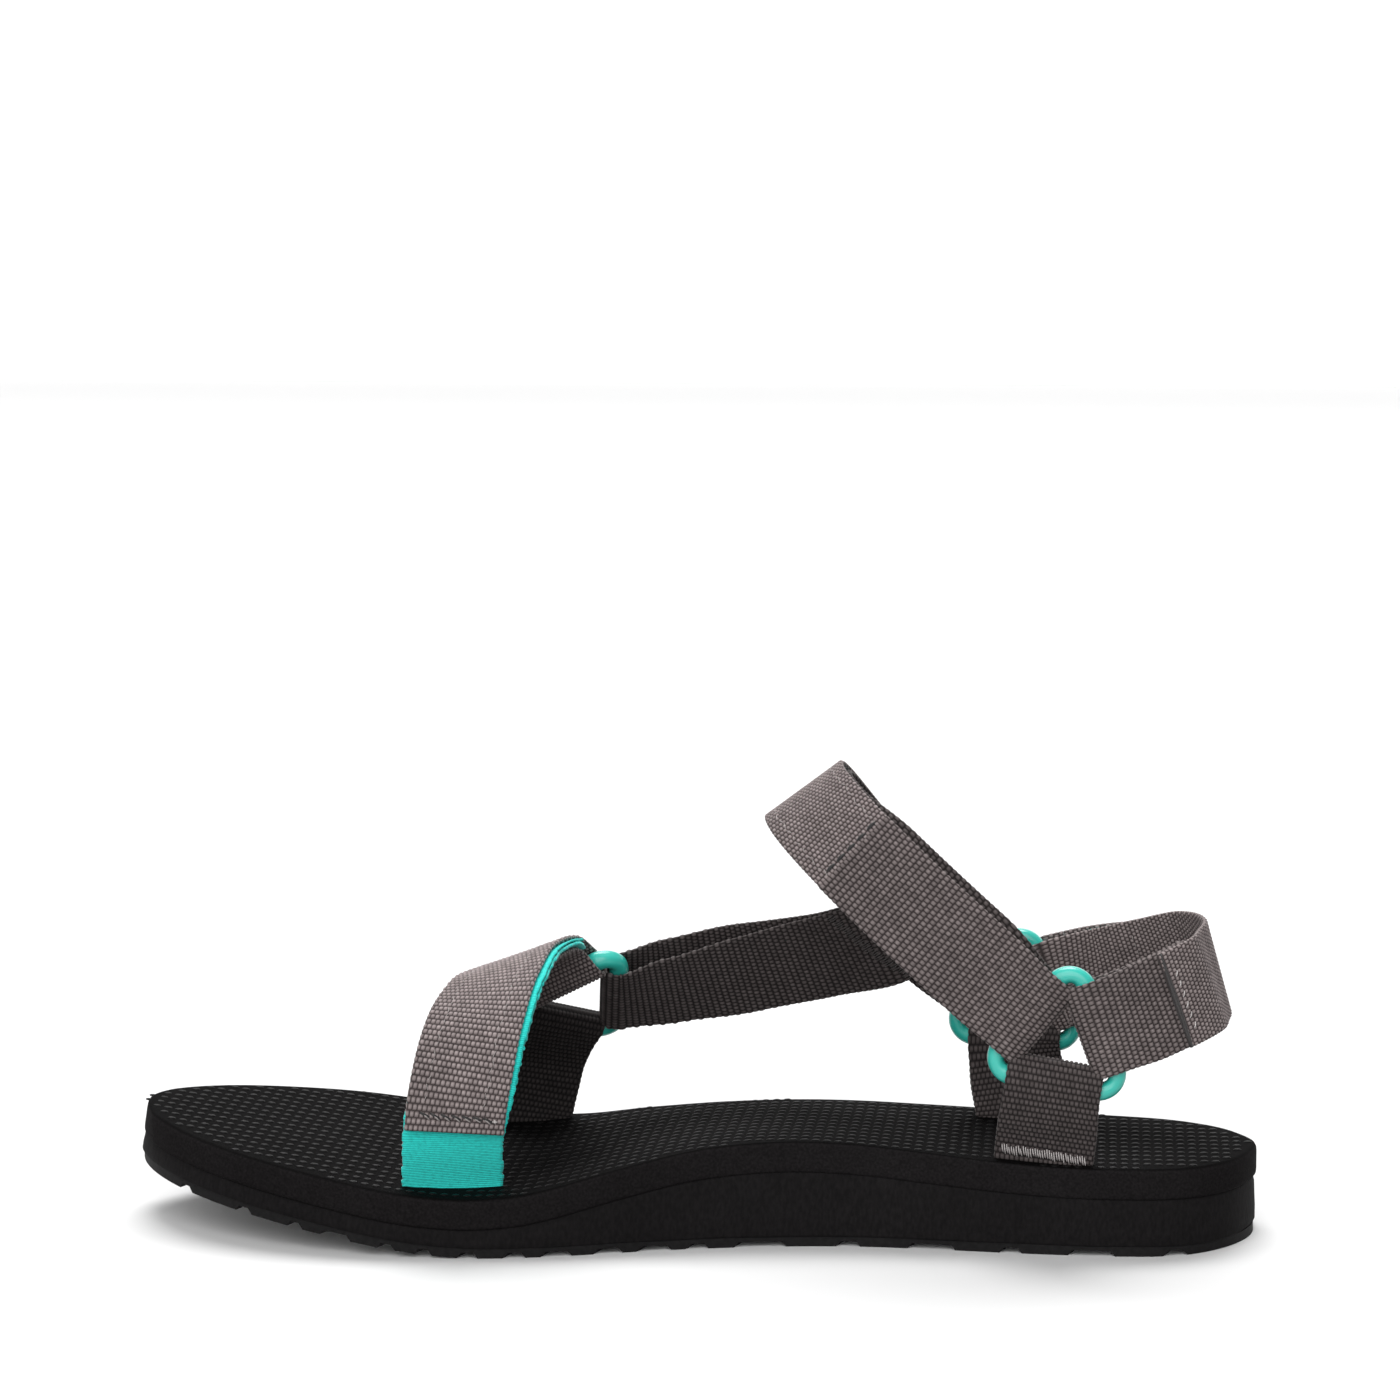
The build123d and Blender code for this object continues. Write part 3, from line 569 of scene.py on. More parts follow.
class Ribbon:
    """A strip of webbing or tape along a line, with its outer face on the side of outward."""

    def __init__(self, stations, width, thickness, outward, row=ROW, columns=COLUMNS):
        points, acrosses = stations
        run = run_of(points)
        self.length = run[-1]
        steps = max(int(round(self.length / row)), 2) * CELL_STEPS
        self.where = np.linspace(0, self.length, steps + 1)
        self.points, acrosses = resampled(points, acrosses, run, self.where)
        self.along = tangents(self.points)
        self.acrosses = square_to(acrosses, self.along)
        self.normals = np.cross(self.acrosses, self.along) * outward
        self.widths = width(self.points) if callable(width) else np.full(steps + 1, float(width))
        self.thickness = thickness
        self.rows = np.arange(steps + 1) / CELL_STEPS
        self.columns = columns

    def at(self, where, share, lift):
        """A point on the outer face: share is from -1 to 1 across, lift is above the face."""
        base, across, normal = (
            np.array([np.interp(where, self.where, rows[:, k]) for k in range(3)])
            for rows in (self.points, self.acrosses, self.normals)
        )
        reach = share * np.interp(where, self.where, self.widths) / 2
        return base + across * reach + normal * (self.thickness / 2 + lift)

    def weave(self, name):
        """A woven closed mesh, with floats on both faces and small loops along both edges."""
        half = self.thickness / 2
        depth = FINE_HEIGHT if self.columns == FINE_COLUMNS else WEAVE_HEIGHT
        flat = half - depth
        cells = np.linspace(0, self.columns, self.columns * CELL_STEPS + 1)
        edge = np.linspace(-pi / 2, pi / 2, EDGE_STEPS + 2)[1:-1]
        height, yarn = weave_height(self.rows[:, None], cells[None, :])
        crest_edge = np.repeat(np.abs(np.sin(pi * self.rows))[:, None], EDGE_STEPS, axis=1)
        x_face = (cells / self.columns * 2 - 1)[None, :] * (self.widths[:, None] / 2 - flat)
        z_face = flat + depth * height
        bulge = (flat + (crest_edge - 0.5) * SELVAGE) * np.cos(edge)[None, :]
        x_edge = (self.widths[:, None] / 2 - flat) + bulge
        z_edge = flat * np.sin(edge)[None, :] + 0 * crest_edge
        x = np.hstack([x_face, x_edge[:, ::-1], x_face[:, ::-1], -x_edge])
        z = np.hstack([z_face, z_edge[:, ::-1], -z_face[:, ::-1], z_edge])
        crest = np.hstack([height, crest_edge, height[:, ::-1], crest_edge])
        yarns = np.hstack([yarn, crest_edge * 0.5, yarn[:, ::-1], crest_edge * 0.5])
        vertices = self.points[:, None, :] + self.acrosses[:, None, :] * x[..., None]
        vertices = vertices + self.normals[:, None, :] * z[..., None]
        count = x.shape[1]
        piece = new_object(name, vertices.reshape(-1, 3), tube_faces(len(x), count))
        # crest, the height of the weave, is the mask for the painted shade in the gaps between floats
        vertex_values(piece, "crest", crest.ravel())
        vertex_values(piece, "yarn", yarns.ravel())
        add_uv(piece, np.column_stack([np.repeat(self.where, count), x.ravel()]))
        return piece


def tape_mesh(name, ribbon, hook_height, seed):
    """A strip of tape with slightly ragged edges, and hooks on its inner face if they have a height."""
    half = ribbon.thickness / 2 - hook_height / 2
    shift = hook_height / 2
    count = 26
    shares = np.linspace(-1, 1, count)
    ragged = (hashed(np.floor(ribbon.where / RAGGED_STEP), 0, seed) - 0.5) * RAGGED_DEPTH
    rows = np.arange(len(ribbon.where))[:, None]
    fuzz = (hashed(rows, np.arange(count)[None, :], seed) - 0.5) * FUZZ_DEPTH
    x_face = shares[None, :] * (ribbon.widths[:, None] / 2 + ragged[:, None] * np.abs(shares[None, :]) ** 8)
    x = np.hstack([x_face, x_face[:, ::-1]])
    z = np.hstack([half + shift + fuzz, -half + shift - fuzz[:, ::-1]])
    vertices = ribbon.points[:, None, :] + ribbon.acrosses[:, None, :] * x[..., None]
    vertices = (vertices + ribbon.normals[:, None, :] * z[..., None]).reshape(-1, 3)
    faces = tube_faces(len(x), 2 * count)
    pairs = np.column_stack([np.repeat(ribbon.where, 2 * count), x.ravel()])
    if hook_height:
        hook_vertices, hook_faces = hooks(ribbon, hook_height, len(vertices))
        pairs = np.vstack([pairs, np.zeros((len(hook_vertices), 2))])
        vertices = np.vstack([vertices, hook_vertices])
        faces = faces + hook_faces
    piece = new_object(name, vertices, faces)
    add_uv(piece, pairs)
    return piece


def hooks(ribbon, height, first):
    """Small tapered hooks in staggered rows over the inner face of a tape."""
    vertices, faces = [], []
    base = ribbon.thickness / 2 - height
    row_count = int((ribbon.length - 1.0) / HOOK_PITCH)
    for i in range(row_count):
        k = int(round((0.7 + i * HOOK_PITCH) / ribbon.length * (len(ribbon.where) - 1)))
        half_width = ribbon.widths[k] / 2 - HOOK_MARGIN
        for reach in np.arange(-half_width + (i % 2) * HOOK_PITCH / 2, half_width, HOOK_PITCH):
            centre = ribbon.points[k] + ribbon.acrosses[k] * reach - ribbon.normals[k] * base
            corner = len(vertices) + first
            for rise, size, lean in HOOK_LEVELS:
                for turn in range(4):
                    angle = pi / 4 + turn * pi / 2
                    sideways = ribbon.acrosses[k] * cos(angle) * size
                    forwards = ribbon.along[k] * (sin(angle) * size + lean)
                    vertices.append(centre + (sideways + forwards) - ribbon.normals[k] * height * rise)
            for level in (0, 4):
                for turn in range(4):
                    a, b = corner + level + turn, corner + level + (turn + 1) % 4
                    faces.append([a, b, b + 4, a + 4])
            faces.append([corner + 8 + turn for turn in range(4)])
            faces.append([corner + turn for turn in (3, 2, 1, 0)])
    return np.array(vertices), faces


# ---- thread
def thread_mesh(name, paths, radius):
    """Short lengths of thread, each a tapered tube through its own points."""
    sides = 6
    vertices, faces = [], []
    for path in paths:
        path = np.array(path)
        along = tangents(path)
        side = square_to(np.tile(np.array((0.31, 0.52, 0.79)), (len(path), 1)), along)
        other = np.cross(along, side)
        taper = 0.55 + 0.45 * np.sin(np.linspace(0, pi, len(path)))
        start = len(vertices)
        for k in range(len(path)):
            for turn in range(sides):
                angle = 2 * pi * turn / sides
                offset = side[k] * cos(angle) + other[k] * sin(angle)
                vertices.append(path[k] + offset * radius * taper[k])
        faces += [[v + start for v in face] for face in tube_faces(len(path), sides)]
    return new_object(name, vertices, faces)


def stitch(ribbon, start, end, lift=0.16):
    """One stitch between two places on the outer face, each (distance, share across)."""
    path = []
    for t in np.linspace(0, 1, 7):
        where = start[0] + (end[0] - start[0]) * t
        share = start[1] + (end[1] - start[1]) * t
        path.append(ribbon.at(where, share, lift * sin(pi * t) - THREAD_SINK))
    return path


def row_across(ribbon, where, reach=0.76, count=7, fill=0.72, slant=0.0, lift=0.16):
    """A row of separate stitches across the strap."""
    pitch = 2 * reach / count
    paths = []
    for k in range(count):
        share = -reach + k * pitch
        wander = (hashed(k, 11) - 0.5) * 0.3
        paths.append(stitch(ribbon, (where + wander, share), (where + slant, share + pitch * fill), lift))
    return paths


def zigzag_along(ribbon, start, stop, share, swing=0.022, pitch=1.9):
    """A narrow, slightly uneven zigzag seam along the strap."""
    count = int(abs(stop - start) / pitch)
    paths = []
    for k in range(count):
        wander = (hashed(k, 5, share) - 0.5) * 0.05
        a = start + (stop - start) * k / count
        b = start + (stop - start) * (k + 0.45 + 0.4 * hashed(k, 6, share)) / count
        side = 1 if k % 2 else -1
        near, far = share - side * swing + wander, share + side * swing + wander
        paths.append(stitch(ribbon, (a, near), (b, far), 0.06))
    return paths


def bartack(ribbon, where, depth=2.7, reach=0.86, count=36, lean=0.0):
    """A dense band of zigzag thread across the strap, lean further along at its far side."""
    paths = []
    for k in range(count):
        share = -reach + 2 * reach * k / count
        middle = where + lean * share + (hashed(k, 3) - 0.5) * 0.7
        half = depth / 2 * (0.7 + 0.3 * hashed(k, 4))
        paths.append(stitch(ribbon, (middle - half, share), (middle + half, share + 0.045), 0.26))
    return paths


# ---- sole meshes
TOE_LEAN = 0.4
TOE_LEAN_START = -123
FAN_CENTRE = 0.012


def ring_points(k_x, k_y, height):
    """A ring of the sole: the outline scaled by k_x and k_y, at height(x, y)."""
    x = OUTLINE[:, 0] * k_x
    y = OUTLINE[:, 1] * k_y
    return np.column_stack([x, y, height(x, y)])


def inset_ring(inset, height, share=1):
    """The outline moved in by inset, then scaled by share."""
    return ring_points(share * (1 - inset / HALF_LENGTH), share * (1 - inset / BALL_HALF_WIDTH), height)


def leaned_back(points):
    """The tip of the toe leans back towards the top of the sole."""
    x, y, z = points.T
    height = (z - ground(x)) / (footbed_top(x, y) - ground(x))
    lean = TOE_LEAN * np.clip(TOE_LEAN_START - x, 0, None) * np.clip(height, 0, 1)
    return np.column_stack([x + lean, y, z])


def sole_mesh(name, edge, bottom, top, fan=22):
    """A closed layer of the sole: edge is a list of (inset, height) up its side."""
    rings = []
    for k in np.linspace(FAN_CENTRE, 1, fan)[:-1]:
        rings.append(inset_ring(edge[0][0], bottom, k))
    rings += [inset_ring(inset, height) for inset, height in edge]
    for k in np.linspace(1, FAN_CENTRE, fan)[1:]:
        rings.append(inset_ring(edge[-1][0], top, k))
    vertices = leaned_back(np.vstack(rings))
    faces = tube_faces(len(rings), len(OUTLINE))
    return new_object(name, vertices, faces)


def footbed_bottom(x, y):
    return footbed_top(x, y) - FOOTBED_THICKNESS


def midsole_bottom(x, y):
    return ground(x) + TREAD_THICKNESS


def raised(base, lift):
    """A height lift above another."""
    return lambda x, y: base(x, y) + lift


def between(low, high, share):
    """A height part of the way from low to high."""
    return lambda x, y: low(x, y) * (1 - share) + high(x, y) * share


TOPSOLE_EDGE = [
    (0.9, footbed_bottom), (0.35, raised(footbed_bottom, 0.15)), (0.08, raised(footbed_bottom, 0.5)),
    (0.0, raised(footbed_bottom, 1.2)), (0.0, raised(footbed_bottom, 3.0)), (0.0, raised(footbed_top, -1.6)),
    (0.1, raised(footbed_top, -0.8)), (0.4, raised(footbed_top, -0.25)), (0.9, raised(footbed_top, -0.03)),
    (1.5, footbed_top),
]  # fmt: skip
# share of the midsole's height, and how far its side is set in there
MIDSOLE_WAIST = [(0.0, 0.45), (0.04, 0.2), (0.3, 0.2), (0.6, 0.35), (0.85, 0.45), (0.94, 0.7), (1.0, 0.7)]
PAD_MARGIN = 1.9
PAD_SKEW = 0.12
SLOT_END_CLEARANCE = 0.8
SLOT_SIDE_CLEARANCE = 2.4
PAD_PITCH_X = 2.55
PAD_PITCH_Y = 4.2
PAD_LENGTH = 1.95
PAD_WIDTH = 1.6
PAD_HEIGHT = 0.27
PAD_LEVELS = ((-0.3, 1.0), (0.3, 0.94), (0.66, 0.78), (0.9, 0.5), (1.0, 0.18))  # height, size


def inside_outline(x, y, margin):
    """Whether a place is inside the sole's outline by a margin."""
    grown = OUTLINE * np.array([1 - margin / HALF_LENGTH, 1 - margin / BALL_HALF_WIDTH])
    a, b = grown, np.roll(grown, -1, axis=0)
    crosses = (a[:, 1] > y) != (b[:, 1] > y)
    with np.errstate(divide="ignore", invalid="ignore"):
        at = (b[:, 0] - a[:, 0]) * (y - a[:, 1]) / (b[:, 1] - a[:, 1]) + a[:, 0]
    return np.count_nonzero(crosses & (x < at)) % 2 == 1


def near_slot(x, y):
    """Whether a place lies in one of the strap slots."""
    for anchor in ANCHORS.values():
        away = np.array((x, y)) - anchor.top[:2]
        along = unit(anchor.across[:2])
        across = np.array((-along[1], along[0]))
        beside = abs(away @ across) < SLOT_SIDE_CLEARANCE
        if beside and abs(away @ along) < WEB_WIDTH / 2 + SLOT_END_CLEARANCE:
            return True
    return False


def footbed_texture():
    """Small raised pads in straight rows over the footbed."""
    sides = 8
    vertices, faces = [], []
    angles = 2 * pi * np.arange(sides) / sides
    rows = int(2 * BALL_HALF_WIDTH / PAD_PITCH_Y) + 1
    columns = int(2 * HALF_LENGTH / PAD_PITCH_X) + 1
    for j in range(rows):
        y = -BALL_HALF_WIDTH + j * PAD_PITCH_Y
        for i in range(columns):
            x = -HALF_LENGTH + i * PAD_PITCH_X
            if not inside_outline(x, y, PAD_MARGIN) or near_slot(x, y):
                continue
            start = len(vertices)
            for rise, size in PAD_LEVELS:
                px = x + np.cos(angles) * PAD_LENGTH / 2 * size
                py = y + np.sin(angles) * PAD_WIDTH / 2 * size + np.cos(angles) * PAD_SKEW * size
                vertices += np.column_stack([px, py, footbed_top(px, py) + PAD_HEIGHT * rise]).tolist()
            faces += [[v + start for v in face] for face in tube_faces(len(PAD_LEVELS), sides)]
    return new_object("footbed_texture", vertices, faces)


# ---- materials
class Look:
    """A material with one principled shader, and short ways to wire nodes into it."""

    def __init__(self, name, base, roughness, **sockets):
        self.material = bpy.data.materials.new(name)
        self.material.use_nodes = True
        self.nodes = self.material.node_tree.nodes
        self.links = self.material.node_tree.links
        self.shader = self.nodes["Principled BSDF"]
        self.set("Base Color", (*base, 1))
        self.set("Roughness", roughness)
        for socket, value in sockets.items():
            self.set(socket.replace("_", " "), value)

    def set(self, socket, value):
        """Give a shader socket a constant."""
        self.shader.inputs[socket].default_value = value

    def wire(self, socket, output):
        """Feed a shader socket from a node."""
        self.links.new(output, self.shader.inputs[socket])

    def noise(self, scale, detail=2.0, coordinates="Object", stretch=(1, 1, 1)):
        """A noise texture in metres, which can be stretched."""
        place = self.nodes.new("ShaderNodeTexCoord")
        mapping = self.nodes.new("ShaderNodeMapping")
        mapping.inputs["Scale"].default_value = stretch
        texture = self.nodes.new("ShaderNodeTexNoise")
        texture.inputs["Scale"].default_value = scale
        texture.inputs["Detail"].default_value = detail
        self.links.new(place.outputs[coordinates], mapping.inputs["Vector"])
        self.links.new(mapping.outputs["Vector"], texture.inputs["Vector"])
        return texture.outputs["Fac"]

    def attribute(self, name):
        """A number stored at each vertex."""
        node = self.nodes.new("ShaderNodeAttribute")
        node.attribute_name = name
        return node.outputs["Fac"]

    def ramp(self, value, stops):
        """A colour ramp over value: stops is a list of (position, colour)."""
        node = self.nodes.new("ShaderNodeValToRGB")
        elements = node.color_ramp.elements
        while len(elements) < len(stops):
            elements.new(0.5)
        for element, (position, colour) in zip(elements, stops):
            element.position = position
            element.color = (*colour, 1)
        self.links.new(value, node.inputs["Fac"])
        return node.outputs["Color"]

    def times(self, a, b, share=1.0):
        """One colour multiplied by another, or partly so."""
        node = self.nodes.new("ShaderNodeMix")
        node.data_type = "RGBA"
        node.blend_type = "MULTIPLY"
        node.inputs[0].default_value = share
        self.links.new(a, node.inputs[6])
        self.links.new(b, node.inputs[7])
        return node.outputs[2]

    def bump(self, value, distance, strength=1.0):
        """Raise the surface by value."""
        node = self.nodes.new("ShaderNodeBump")
        node.inputs["Distance"].default_value = distance
        node.inputs["Strength"].default_value = strength
        self.links.new(value, node.inputs["Height"])
        self.wire("Normal", node.outputs["Normal"])


def webbing_material(name, tone):
    """Heathered polyester webbing: light floats, painted shade in the gaps between them, and fine filaments;
    tone scales the colour, and darker copies of it are painted shade.
    """
    look = Look(
        name, (0.15, 0.13, 0.125), 0.8, Sheen_Weight=0.12, Sheen_Roughness=0.4, Specular_IOR_Level=0.2
    )
    low = tuple(c * tone for c in (0.235, 0.2, 0.197))
    high = tuple(c * tone for c in (0.335, 0.287, 0.283))
    shade = look.ramp(look.attribute("yarn"), [(0.0, low), (1.0, high)])
    streak = look.noise(2600, 3, "UV", (1, 0.25, 1))
    fibres = look.ramp(streak, [(0.3, (0.6, 0.6, 0.6)), (0.75, (1, 1, 1))])
    streaked = look.times(shade, fibres, 0.5)
    # painted shade: the lower a point of the weave lies (its crest), the darker it is, as in the shaded gaps
    # between floats
    gap_shade_stops = [(0.12, (0.17, 0.16, 0.16)), (0.48, (0.58, 0.56, 0.56)), (0.85, (1, 1, 1))]
    woven = look.times(streaked, look.ramp(look.attribute("crest"), gap_shade_stops))
    patches = look.ramp(look.noise(45), [(0.3, (0.88, 0.87, 0.87)), (0.7, (1.06, 1.05, 1.05))])
    look.wire("Base Color", look.times(woven, patches))
    look.bump(streak, 0.00012, 0.7)
    return look.material


def thread_material(name, colour):
    """Twisted sewing thread."""
    look = Look(name, colour, 0.55, Sheen_Weight=0.2)
    twist = look.noise(3500, 2, "Object", (1, 0.4, 1))
    dark = tuple(c * 0.6 for c in colour)
    look.wire("Base Color", look.ramp(twist, [(0.35, dark), (0.65, colour)]))
    look.bump(twist, 0.00006)
    return look.material


def tape_material(name, pile):
    """Teal hook-and-loop tape with fine knitted rows."""
    look = Look(name, (0.02, 0.6, 0.52), 0.65, Sheen_Weight=pile, Specular_IOR_Level=0.2)
    place = look.nodes.new("ShaderNodeTexCoord")
    knit = look.nodes.new("ShaderNodeTexWave")
    knit.wave_type = "BANDS"
    knit.bands_direction = "X"
    knit.inputs["Scale"].default_value = 700
    look.links.new(place.outputs["UV"], knit.inputs["Vector"])
    dots = look.noise(1700, 3, "UV", (1, 0.6, 1))
    base = look.ramp(knit.outputs["Fac"], [(0.1, (0.014, 0.58, 0.52)), (0.6, (0.03, 0.8, 0.72))])
    spots = look.ramp(dots, [(0.34, (0.74, 0.8, 0.8)), (0.56, (1, 1, 1))])
    look.wire("Base Color", look.times(base, spots))
    look.bump(knit.outputs["Fac"], 0.00008, 0.7)
    return look.material


def ring_material():
    """Glossy moulded plastic with faint flow and handling marks."""
    look = Look(
        "teal_plastic", (0.04, 0.56, 0.47), 0.3, Coat_Weight=0.3, Coat_Roughness=0.12, Subsurface_Weight=0.08
    )
    look.set("Subsurface Radius", (0.002, 0.003, 0.003))
    flow = look.noise(140, 3)
    look.wire("Base Color", look.ramp(flow, [(0.3, (0.03, 0.5, 0.41)), (0.7, (0.045, 0.6, 0.5))]))
    marks = look.nodes.new("ShaderNodeMapRange")
    marks.inputs["To Min"].default_value = 0.24
    marks.inputs["To Max"].default_value = 0.4
    look.links.new(look.noise(900, 3), marks.inputs["Value"])
    look.wire("Roughness", marks.outputs["Result"])
    look.bump(flow, 0.0001, 0.25)
    return look.material


def foam_material(name, dark, light, grain, depth, roughness, gloss, stretch=(1, 1, 1), painted_side_light=1.0):
    """Black foam or rubber: fine cells, and skiving marks if stretched; the last argument paints light on the
    sides, making them that many times as light as the top.
    """
    look = Look(name, dark, roughness, Specular_IOR_Level=gloss)
    cells = look.noise(grain, 4, "Object", stretch)
    fine = look.ramp(cells, [(0.35, dark), (0.72, light)])
    tone = look.ramp(look.noise(30, 3), [(0.3, (0.82, 0.8, 0.8)), (0.7, (1.12, 1.1, 1.1))])
    facing = look.nodes.new("ShaderNodeSeparateXYZ")
    look.links.new(look.nodes.new("ShaderNodeNewGeometry").outputs["Normal"], facing.inputs[0])
    # painted light: faces pointing sideways, with a normal less than 0.45 up, are painted lighter than the
    # top, blending to the top's colour by 0.8 up
    side_light_ramp = look.ramp(facing.outputs["Z"], [(0.45, (painted_side_light,) * 3), (0.8, (1, 1, 1))])
    look.wire("Base Color", look.times(look.times(fine, tone), side_light_ramp))
    look.bump(cells, depth, 0.6)
    return look.material


# Copies of one webbing that differ only in tone: woven_webbing is the lightest, and the darker copies are
# painted shade for pieces that lie in shade.
WEBBING = webbing_material("woven_webbing", 1.25)
WEBBING_PAINTED_HALF_SHADE = webbing_material("woven_webbing_painted_half_shade", 0.85)
WEBBING_PAINTED_SHADE = webbing_material("woven_webbing_painted_shade", 0.42)
WEBBING_PAINTED_DARK_SHADE = webbing_material("woven_webbing_painted_dark_shade", 0.38)
WEBBING_PAINTED_DEEP_SHADE = webbing_material("woven_webbing_painted_deep_shade", 0.13)
THREAD_LIGHT = thread_material("light_thread", (0.42, 0.38, 0.37))
THREAD_PALE = thread_material("pale_thread", (0.72, 0.67, 0.66))
THREAD_MID = thread_material("mid_thread", (0.06, 0.052, 0.051))
# dark thread, also used as the painted shadow under the toe flap's end stitches
THREAD_DARK_AND_SHADOW = thread_material("dark_thread_and_painted_shadow", (0.012, 0.011, 0.011))
# the hem is near black: painted shade of the overlap along the heel strap's seam
HEM_PAINTED_SHADE = thread_material("webbing_hem_painted_shade", (0.03, 0.026, 0.026))
LOOP_TAPE = tape_material("loop_tape", 0.25)
HOOK_TAPE = tape_material("hook_tape", 0.1)
RING_PLASTIC = ring_material()
# the topsole's sides get painted light, 3.4 times as light as its top
TOPSOLE_FOAM = foam_material(
    "topsole_foam", (0.0026, 0.0024, 0.0025), (0.005, 0.0046, 0.0048), 1800, 0.00012, 0.85, 0.03, painted_side_light=3.4
)
PAD_FOAM = foam_material(
    "footbed_pads", (0.0035, 0.0033, 0.0034), (0.007, 0.0067, 0.0068), 1500, 0.00006, 0.5, 0.1
)
MIDSOLE_FOAM = foam_material(
    "midsole_foam", (0.006, 0.0055, 0.0058), (0.0115, 0.0105, 0.011), 1400, 0.00015, 0.85, 0.1, (1, 1, 0.45)
)
TREAD_RUBBER = foam_material(
    "tread_rubber", (0.0055, 0.0053, 0.0055), (0.0105, 0.01, 0.0105), 900, 0.0001, 0.7, 0.15
)


def finish_piece(piece, look, slot, body, replaced=()):
    """Give a piece its material and body, and hide the CAD nodes that it stands for; slot is not used."""
    piece.data.materials.clear()
    piece.data.materials.append(look)
    if body:
        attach(piece, body)
    if replaced:
        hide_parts(*replaced)
    return piece


def paint_node(name, look):
    """Give a CAD node that shows as it is its own material."""
    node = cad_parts[name]
    node.data.materials.clear()
    node.data.materials.append(look)
    node.data.polygons.foreach_set("use_smooth", np.ones(len(node.data.polygons), bool))


# ---- the sole
def make_sole():
    topsole = sole_mesh("topsole_foam", TOPSOLE_EDGE, footbed_bottom, footbed_top)
    finish_piece(topsole, TOPSOLE_FOAM, "footbed_foam", "sandal", ["topsole"])
    edge = [(inset, between(midsole_bottom, footbed_bottom, share)) for share, inset in MIDSOLE_WAIST]
    midsole = sole_mesh("midsole_core", edge, midsole_bottom, footbed_bottom)
    finish_piece(midsole, MIDSOLE_FOAM, "midsole_foam", "sandal", ["midsole"])
    finish_piece(footbed_texture(), PAD_FOAM, "footbed_foam", "sandal")
    paint_node("outsole", TREAD_RUBBER)


# ---- the straps
def webbing(name, stations, width, outward, body, replaced, look, row=ROW, columns=COLUMNS):
    """A woven piece of strap that rides on a body."""
    ribbon = Ribbon(stations, width, WEB_THICKNESS, outward, row, columns)
    finish_piece(ribbon.weave(name), look, "webbing", body, replaced)
    return ribbon


def sew(name, paths, look, radius, body="sandal"):
    """Rows of thread that ride on a body."""
    finish_piece(thread_mesh(name, paths, radius), look, "webbing", body)


def fold(piece, route, gap, outward, hinge):
    """Bake the transform of a webbing piece between the sandal and a flap into its mesh; the line over a
    short reach each side of its hinge is worked out, but nothing bends the piece.
    """
    points, _ = layer(route, gap, outward, hinge - FOLD_REACH, hinge + FOLD_REACH)
    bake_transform(piece)


def flap_webbing(name, line, width, outward, replaced, row=FINE_ROW, columns=FINE_COLUMNS):
    """The webbing of a flap, which rides on no one body."""
    flap = Ribbon(line, width, WEB_THICKNESS, outward, row, columns)
    return flap, finish_piece(flap.weave(name), WEBBING, "webbing", None, [replaced])


def tape(name, line, width, outward, seed, body, replaced, hooked=False):
    """A strip of loop tape, or of hook tape with its hooks on the inner face."""
    ribbon = Ribbon(line, width, TAPE_THICKNESS, outward)
    piece = tape_mesh(name, ribbon, HOOK_HEIGHT if hooked else 0.0, seed)
    look, slot = (HOOK_TAPE, "hook_tape") if hooked else (LOOP_TAPE, "loop_tape")
    finish_piece(piece, look, slot, body, [replaced])


def anchor_loop(name, route, ring, outward, look, thread):
    """The doubled strap from a ring down into the sole, with its bartack."""
    outer = layer(route, sewn_gap, outward)
    inner = layer(route, negative(sewn_gap), outward)
    stations = joined(backwards(outer), around(ring, "sole", outward), inner)
    width = narrowed(ring.bar("sole"))
    webbing(name + "_webbing", stations, width, outward, "sandal", [name], look)
    base = total(route) - FOOTBED_THICKNESS + TAB_RISE
    tack = bartack(Ribbon(outer, width, WEB_THICKNESS, outward), base - BARTACK_ABOVE_SEAM)
    sew(name + "_bartack", tack, thread, 0.15)


def to_rear(where):
    """How far the toe tapes stand out behind the webbing, above the sole."""
    return -TOE_TAPE_SHOW * ease((where - 4) / 12) * ease((80 - where) / 16)


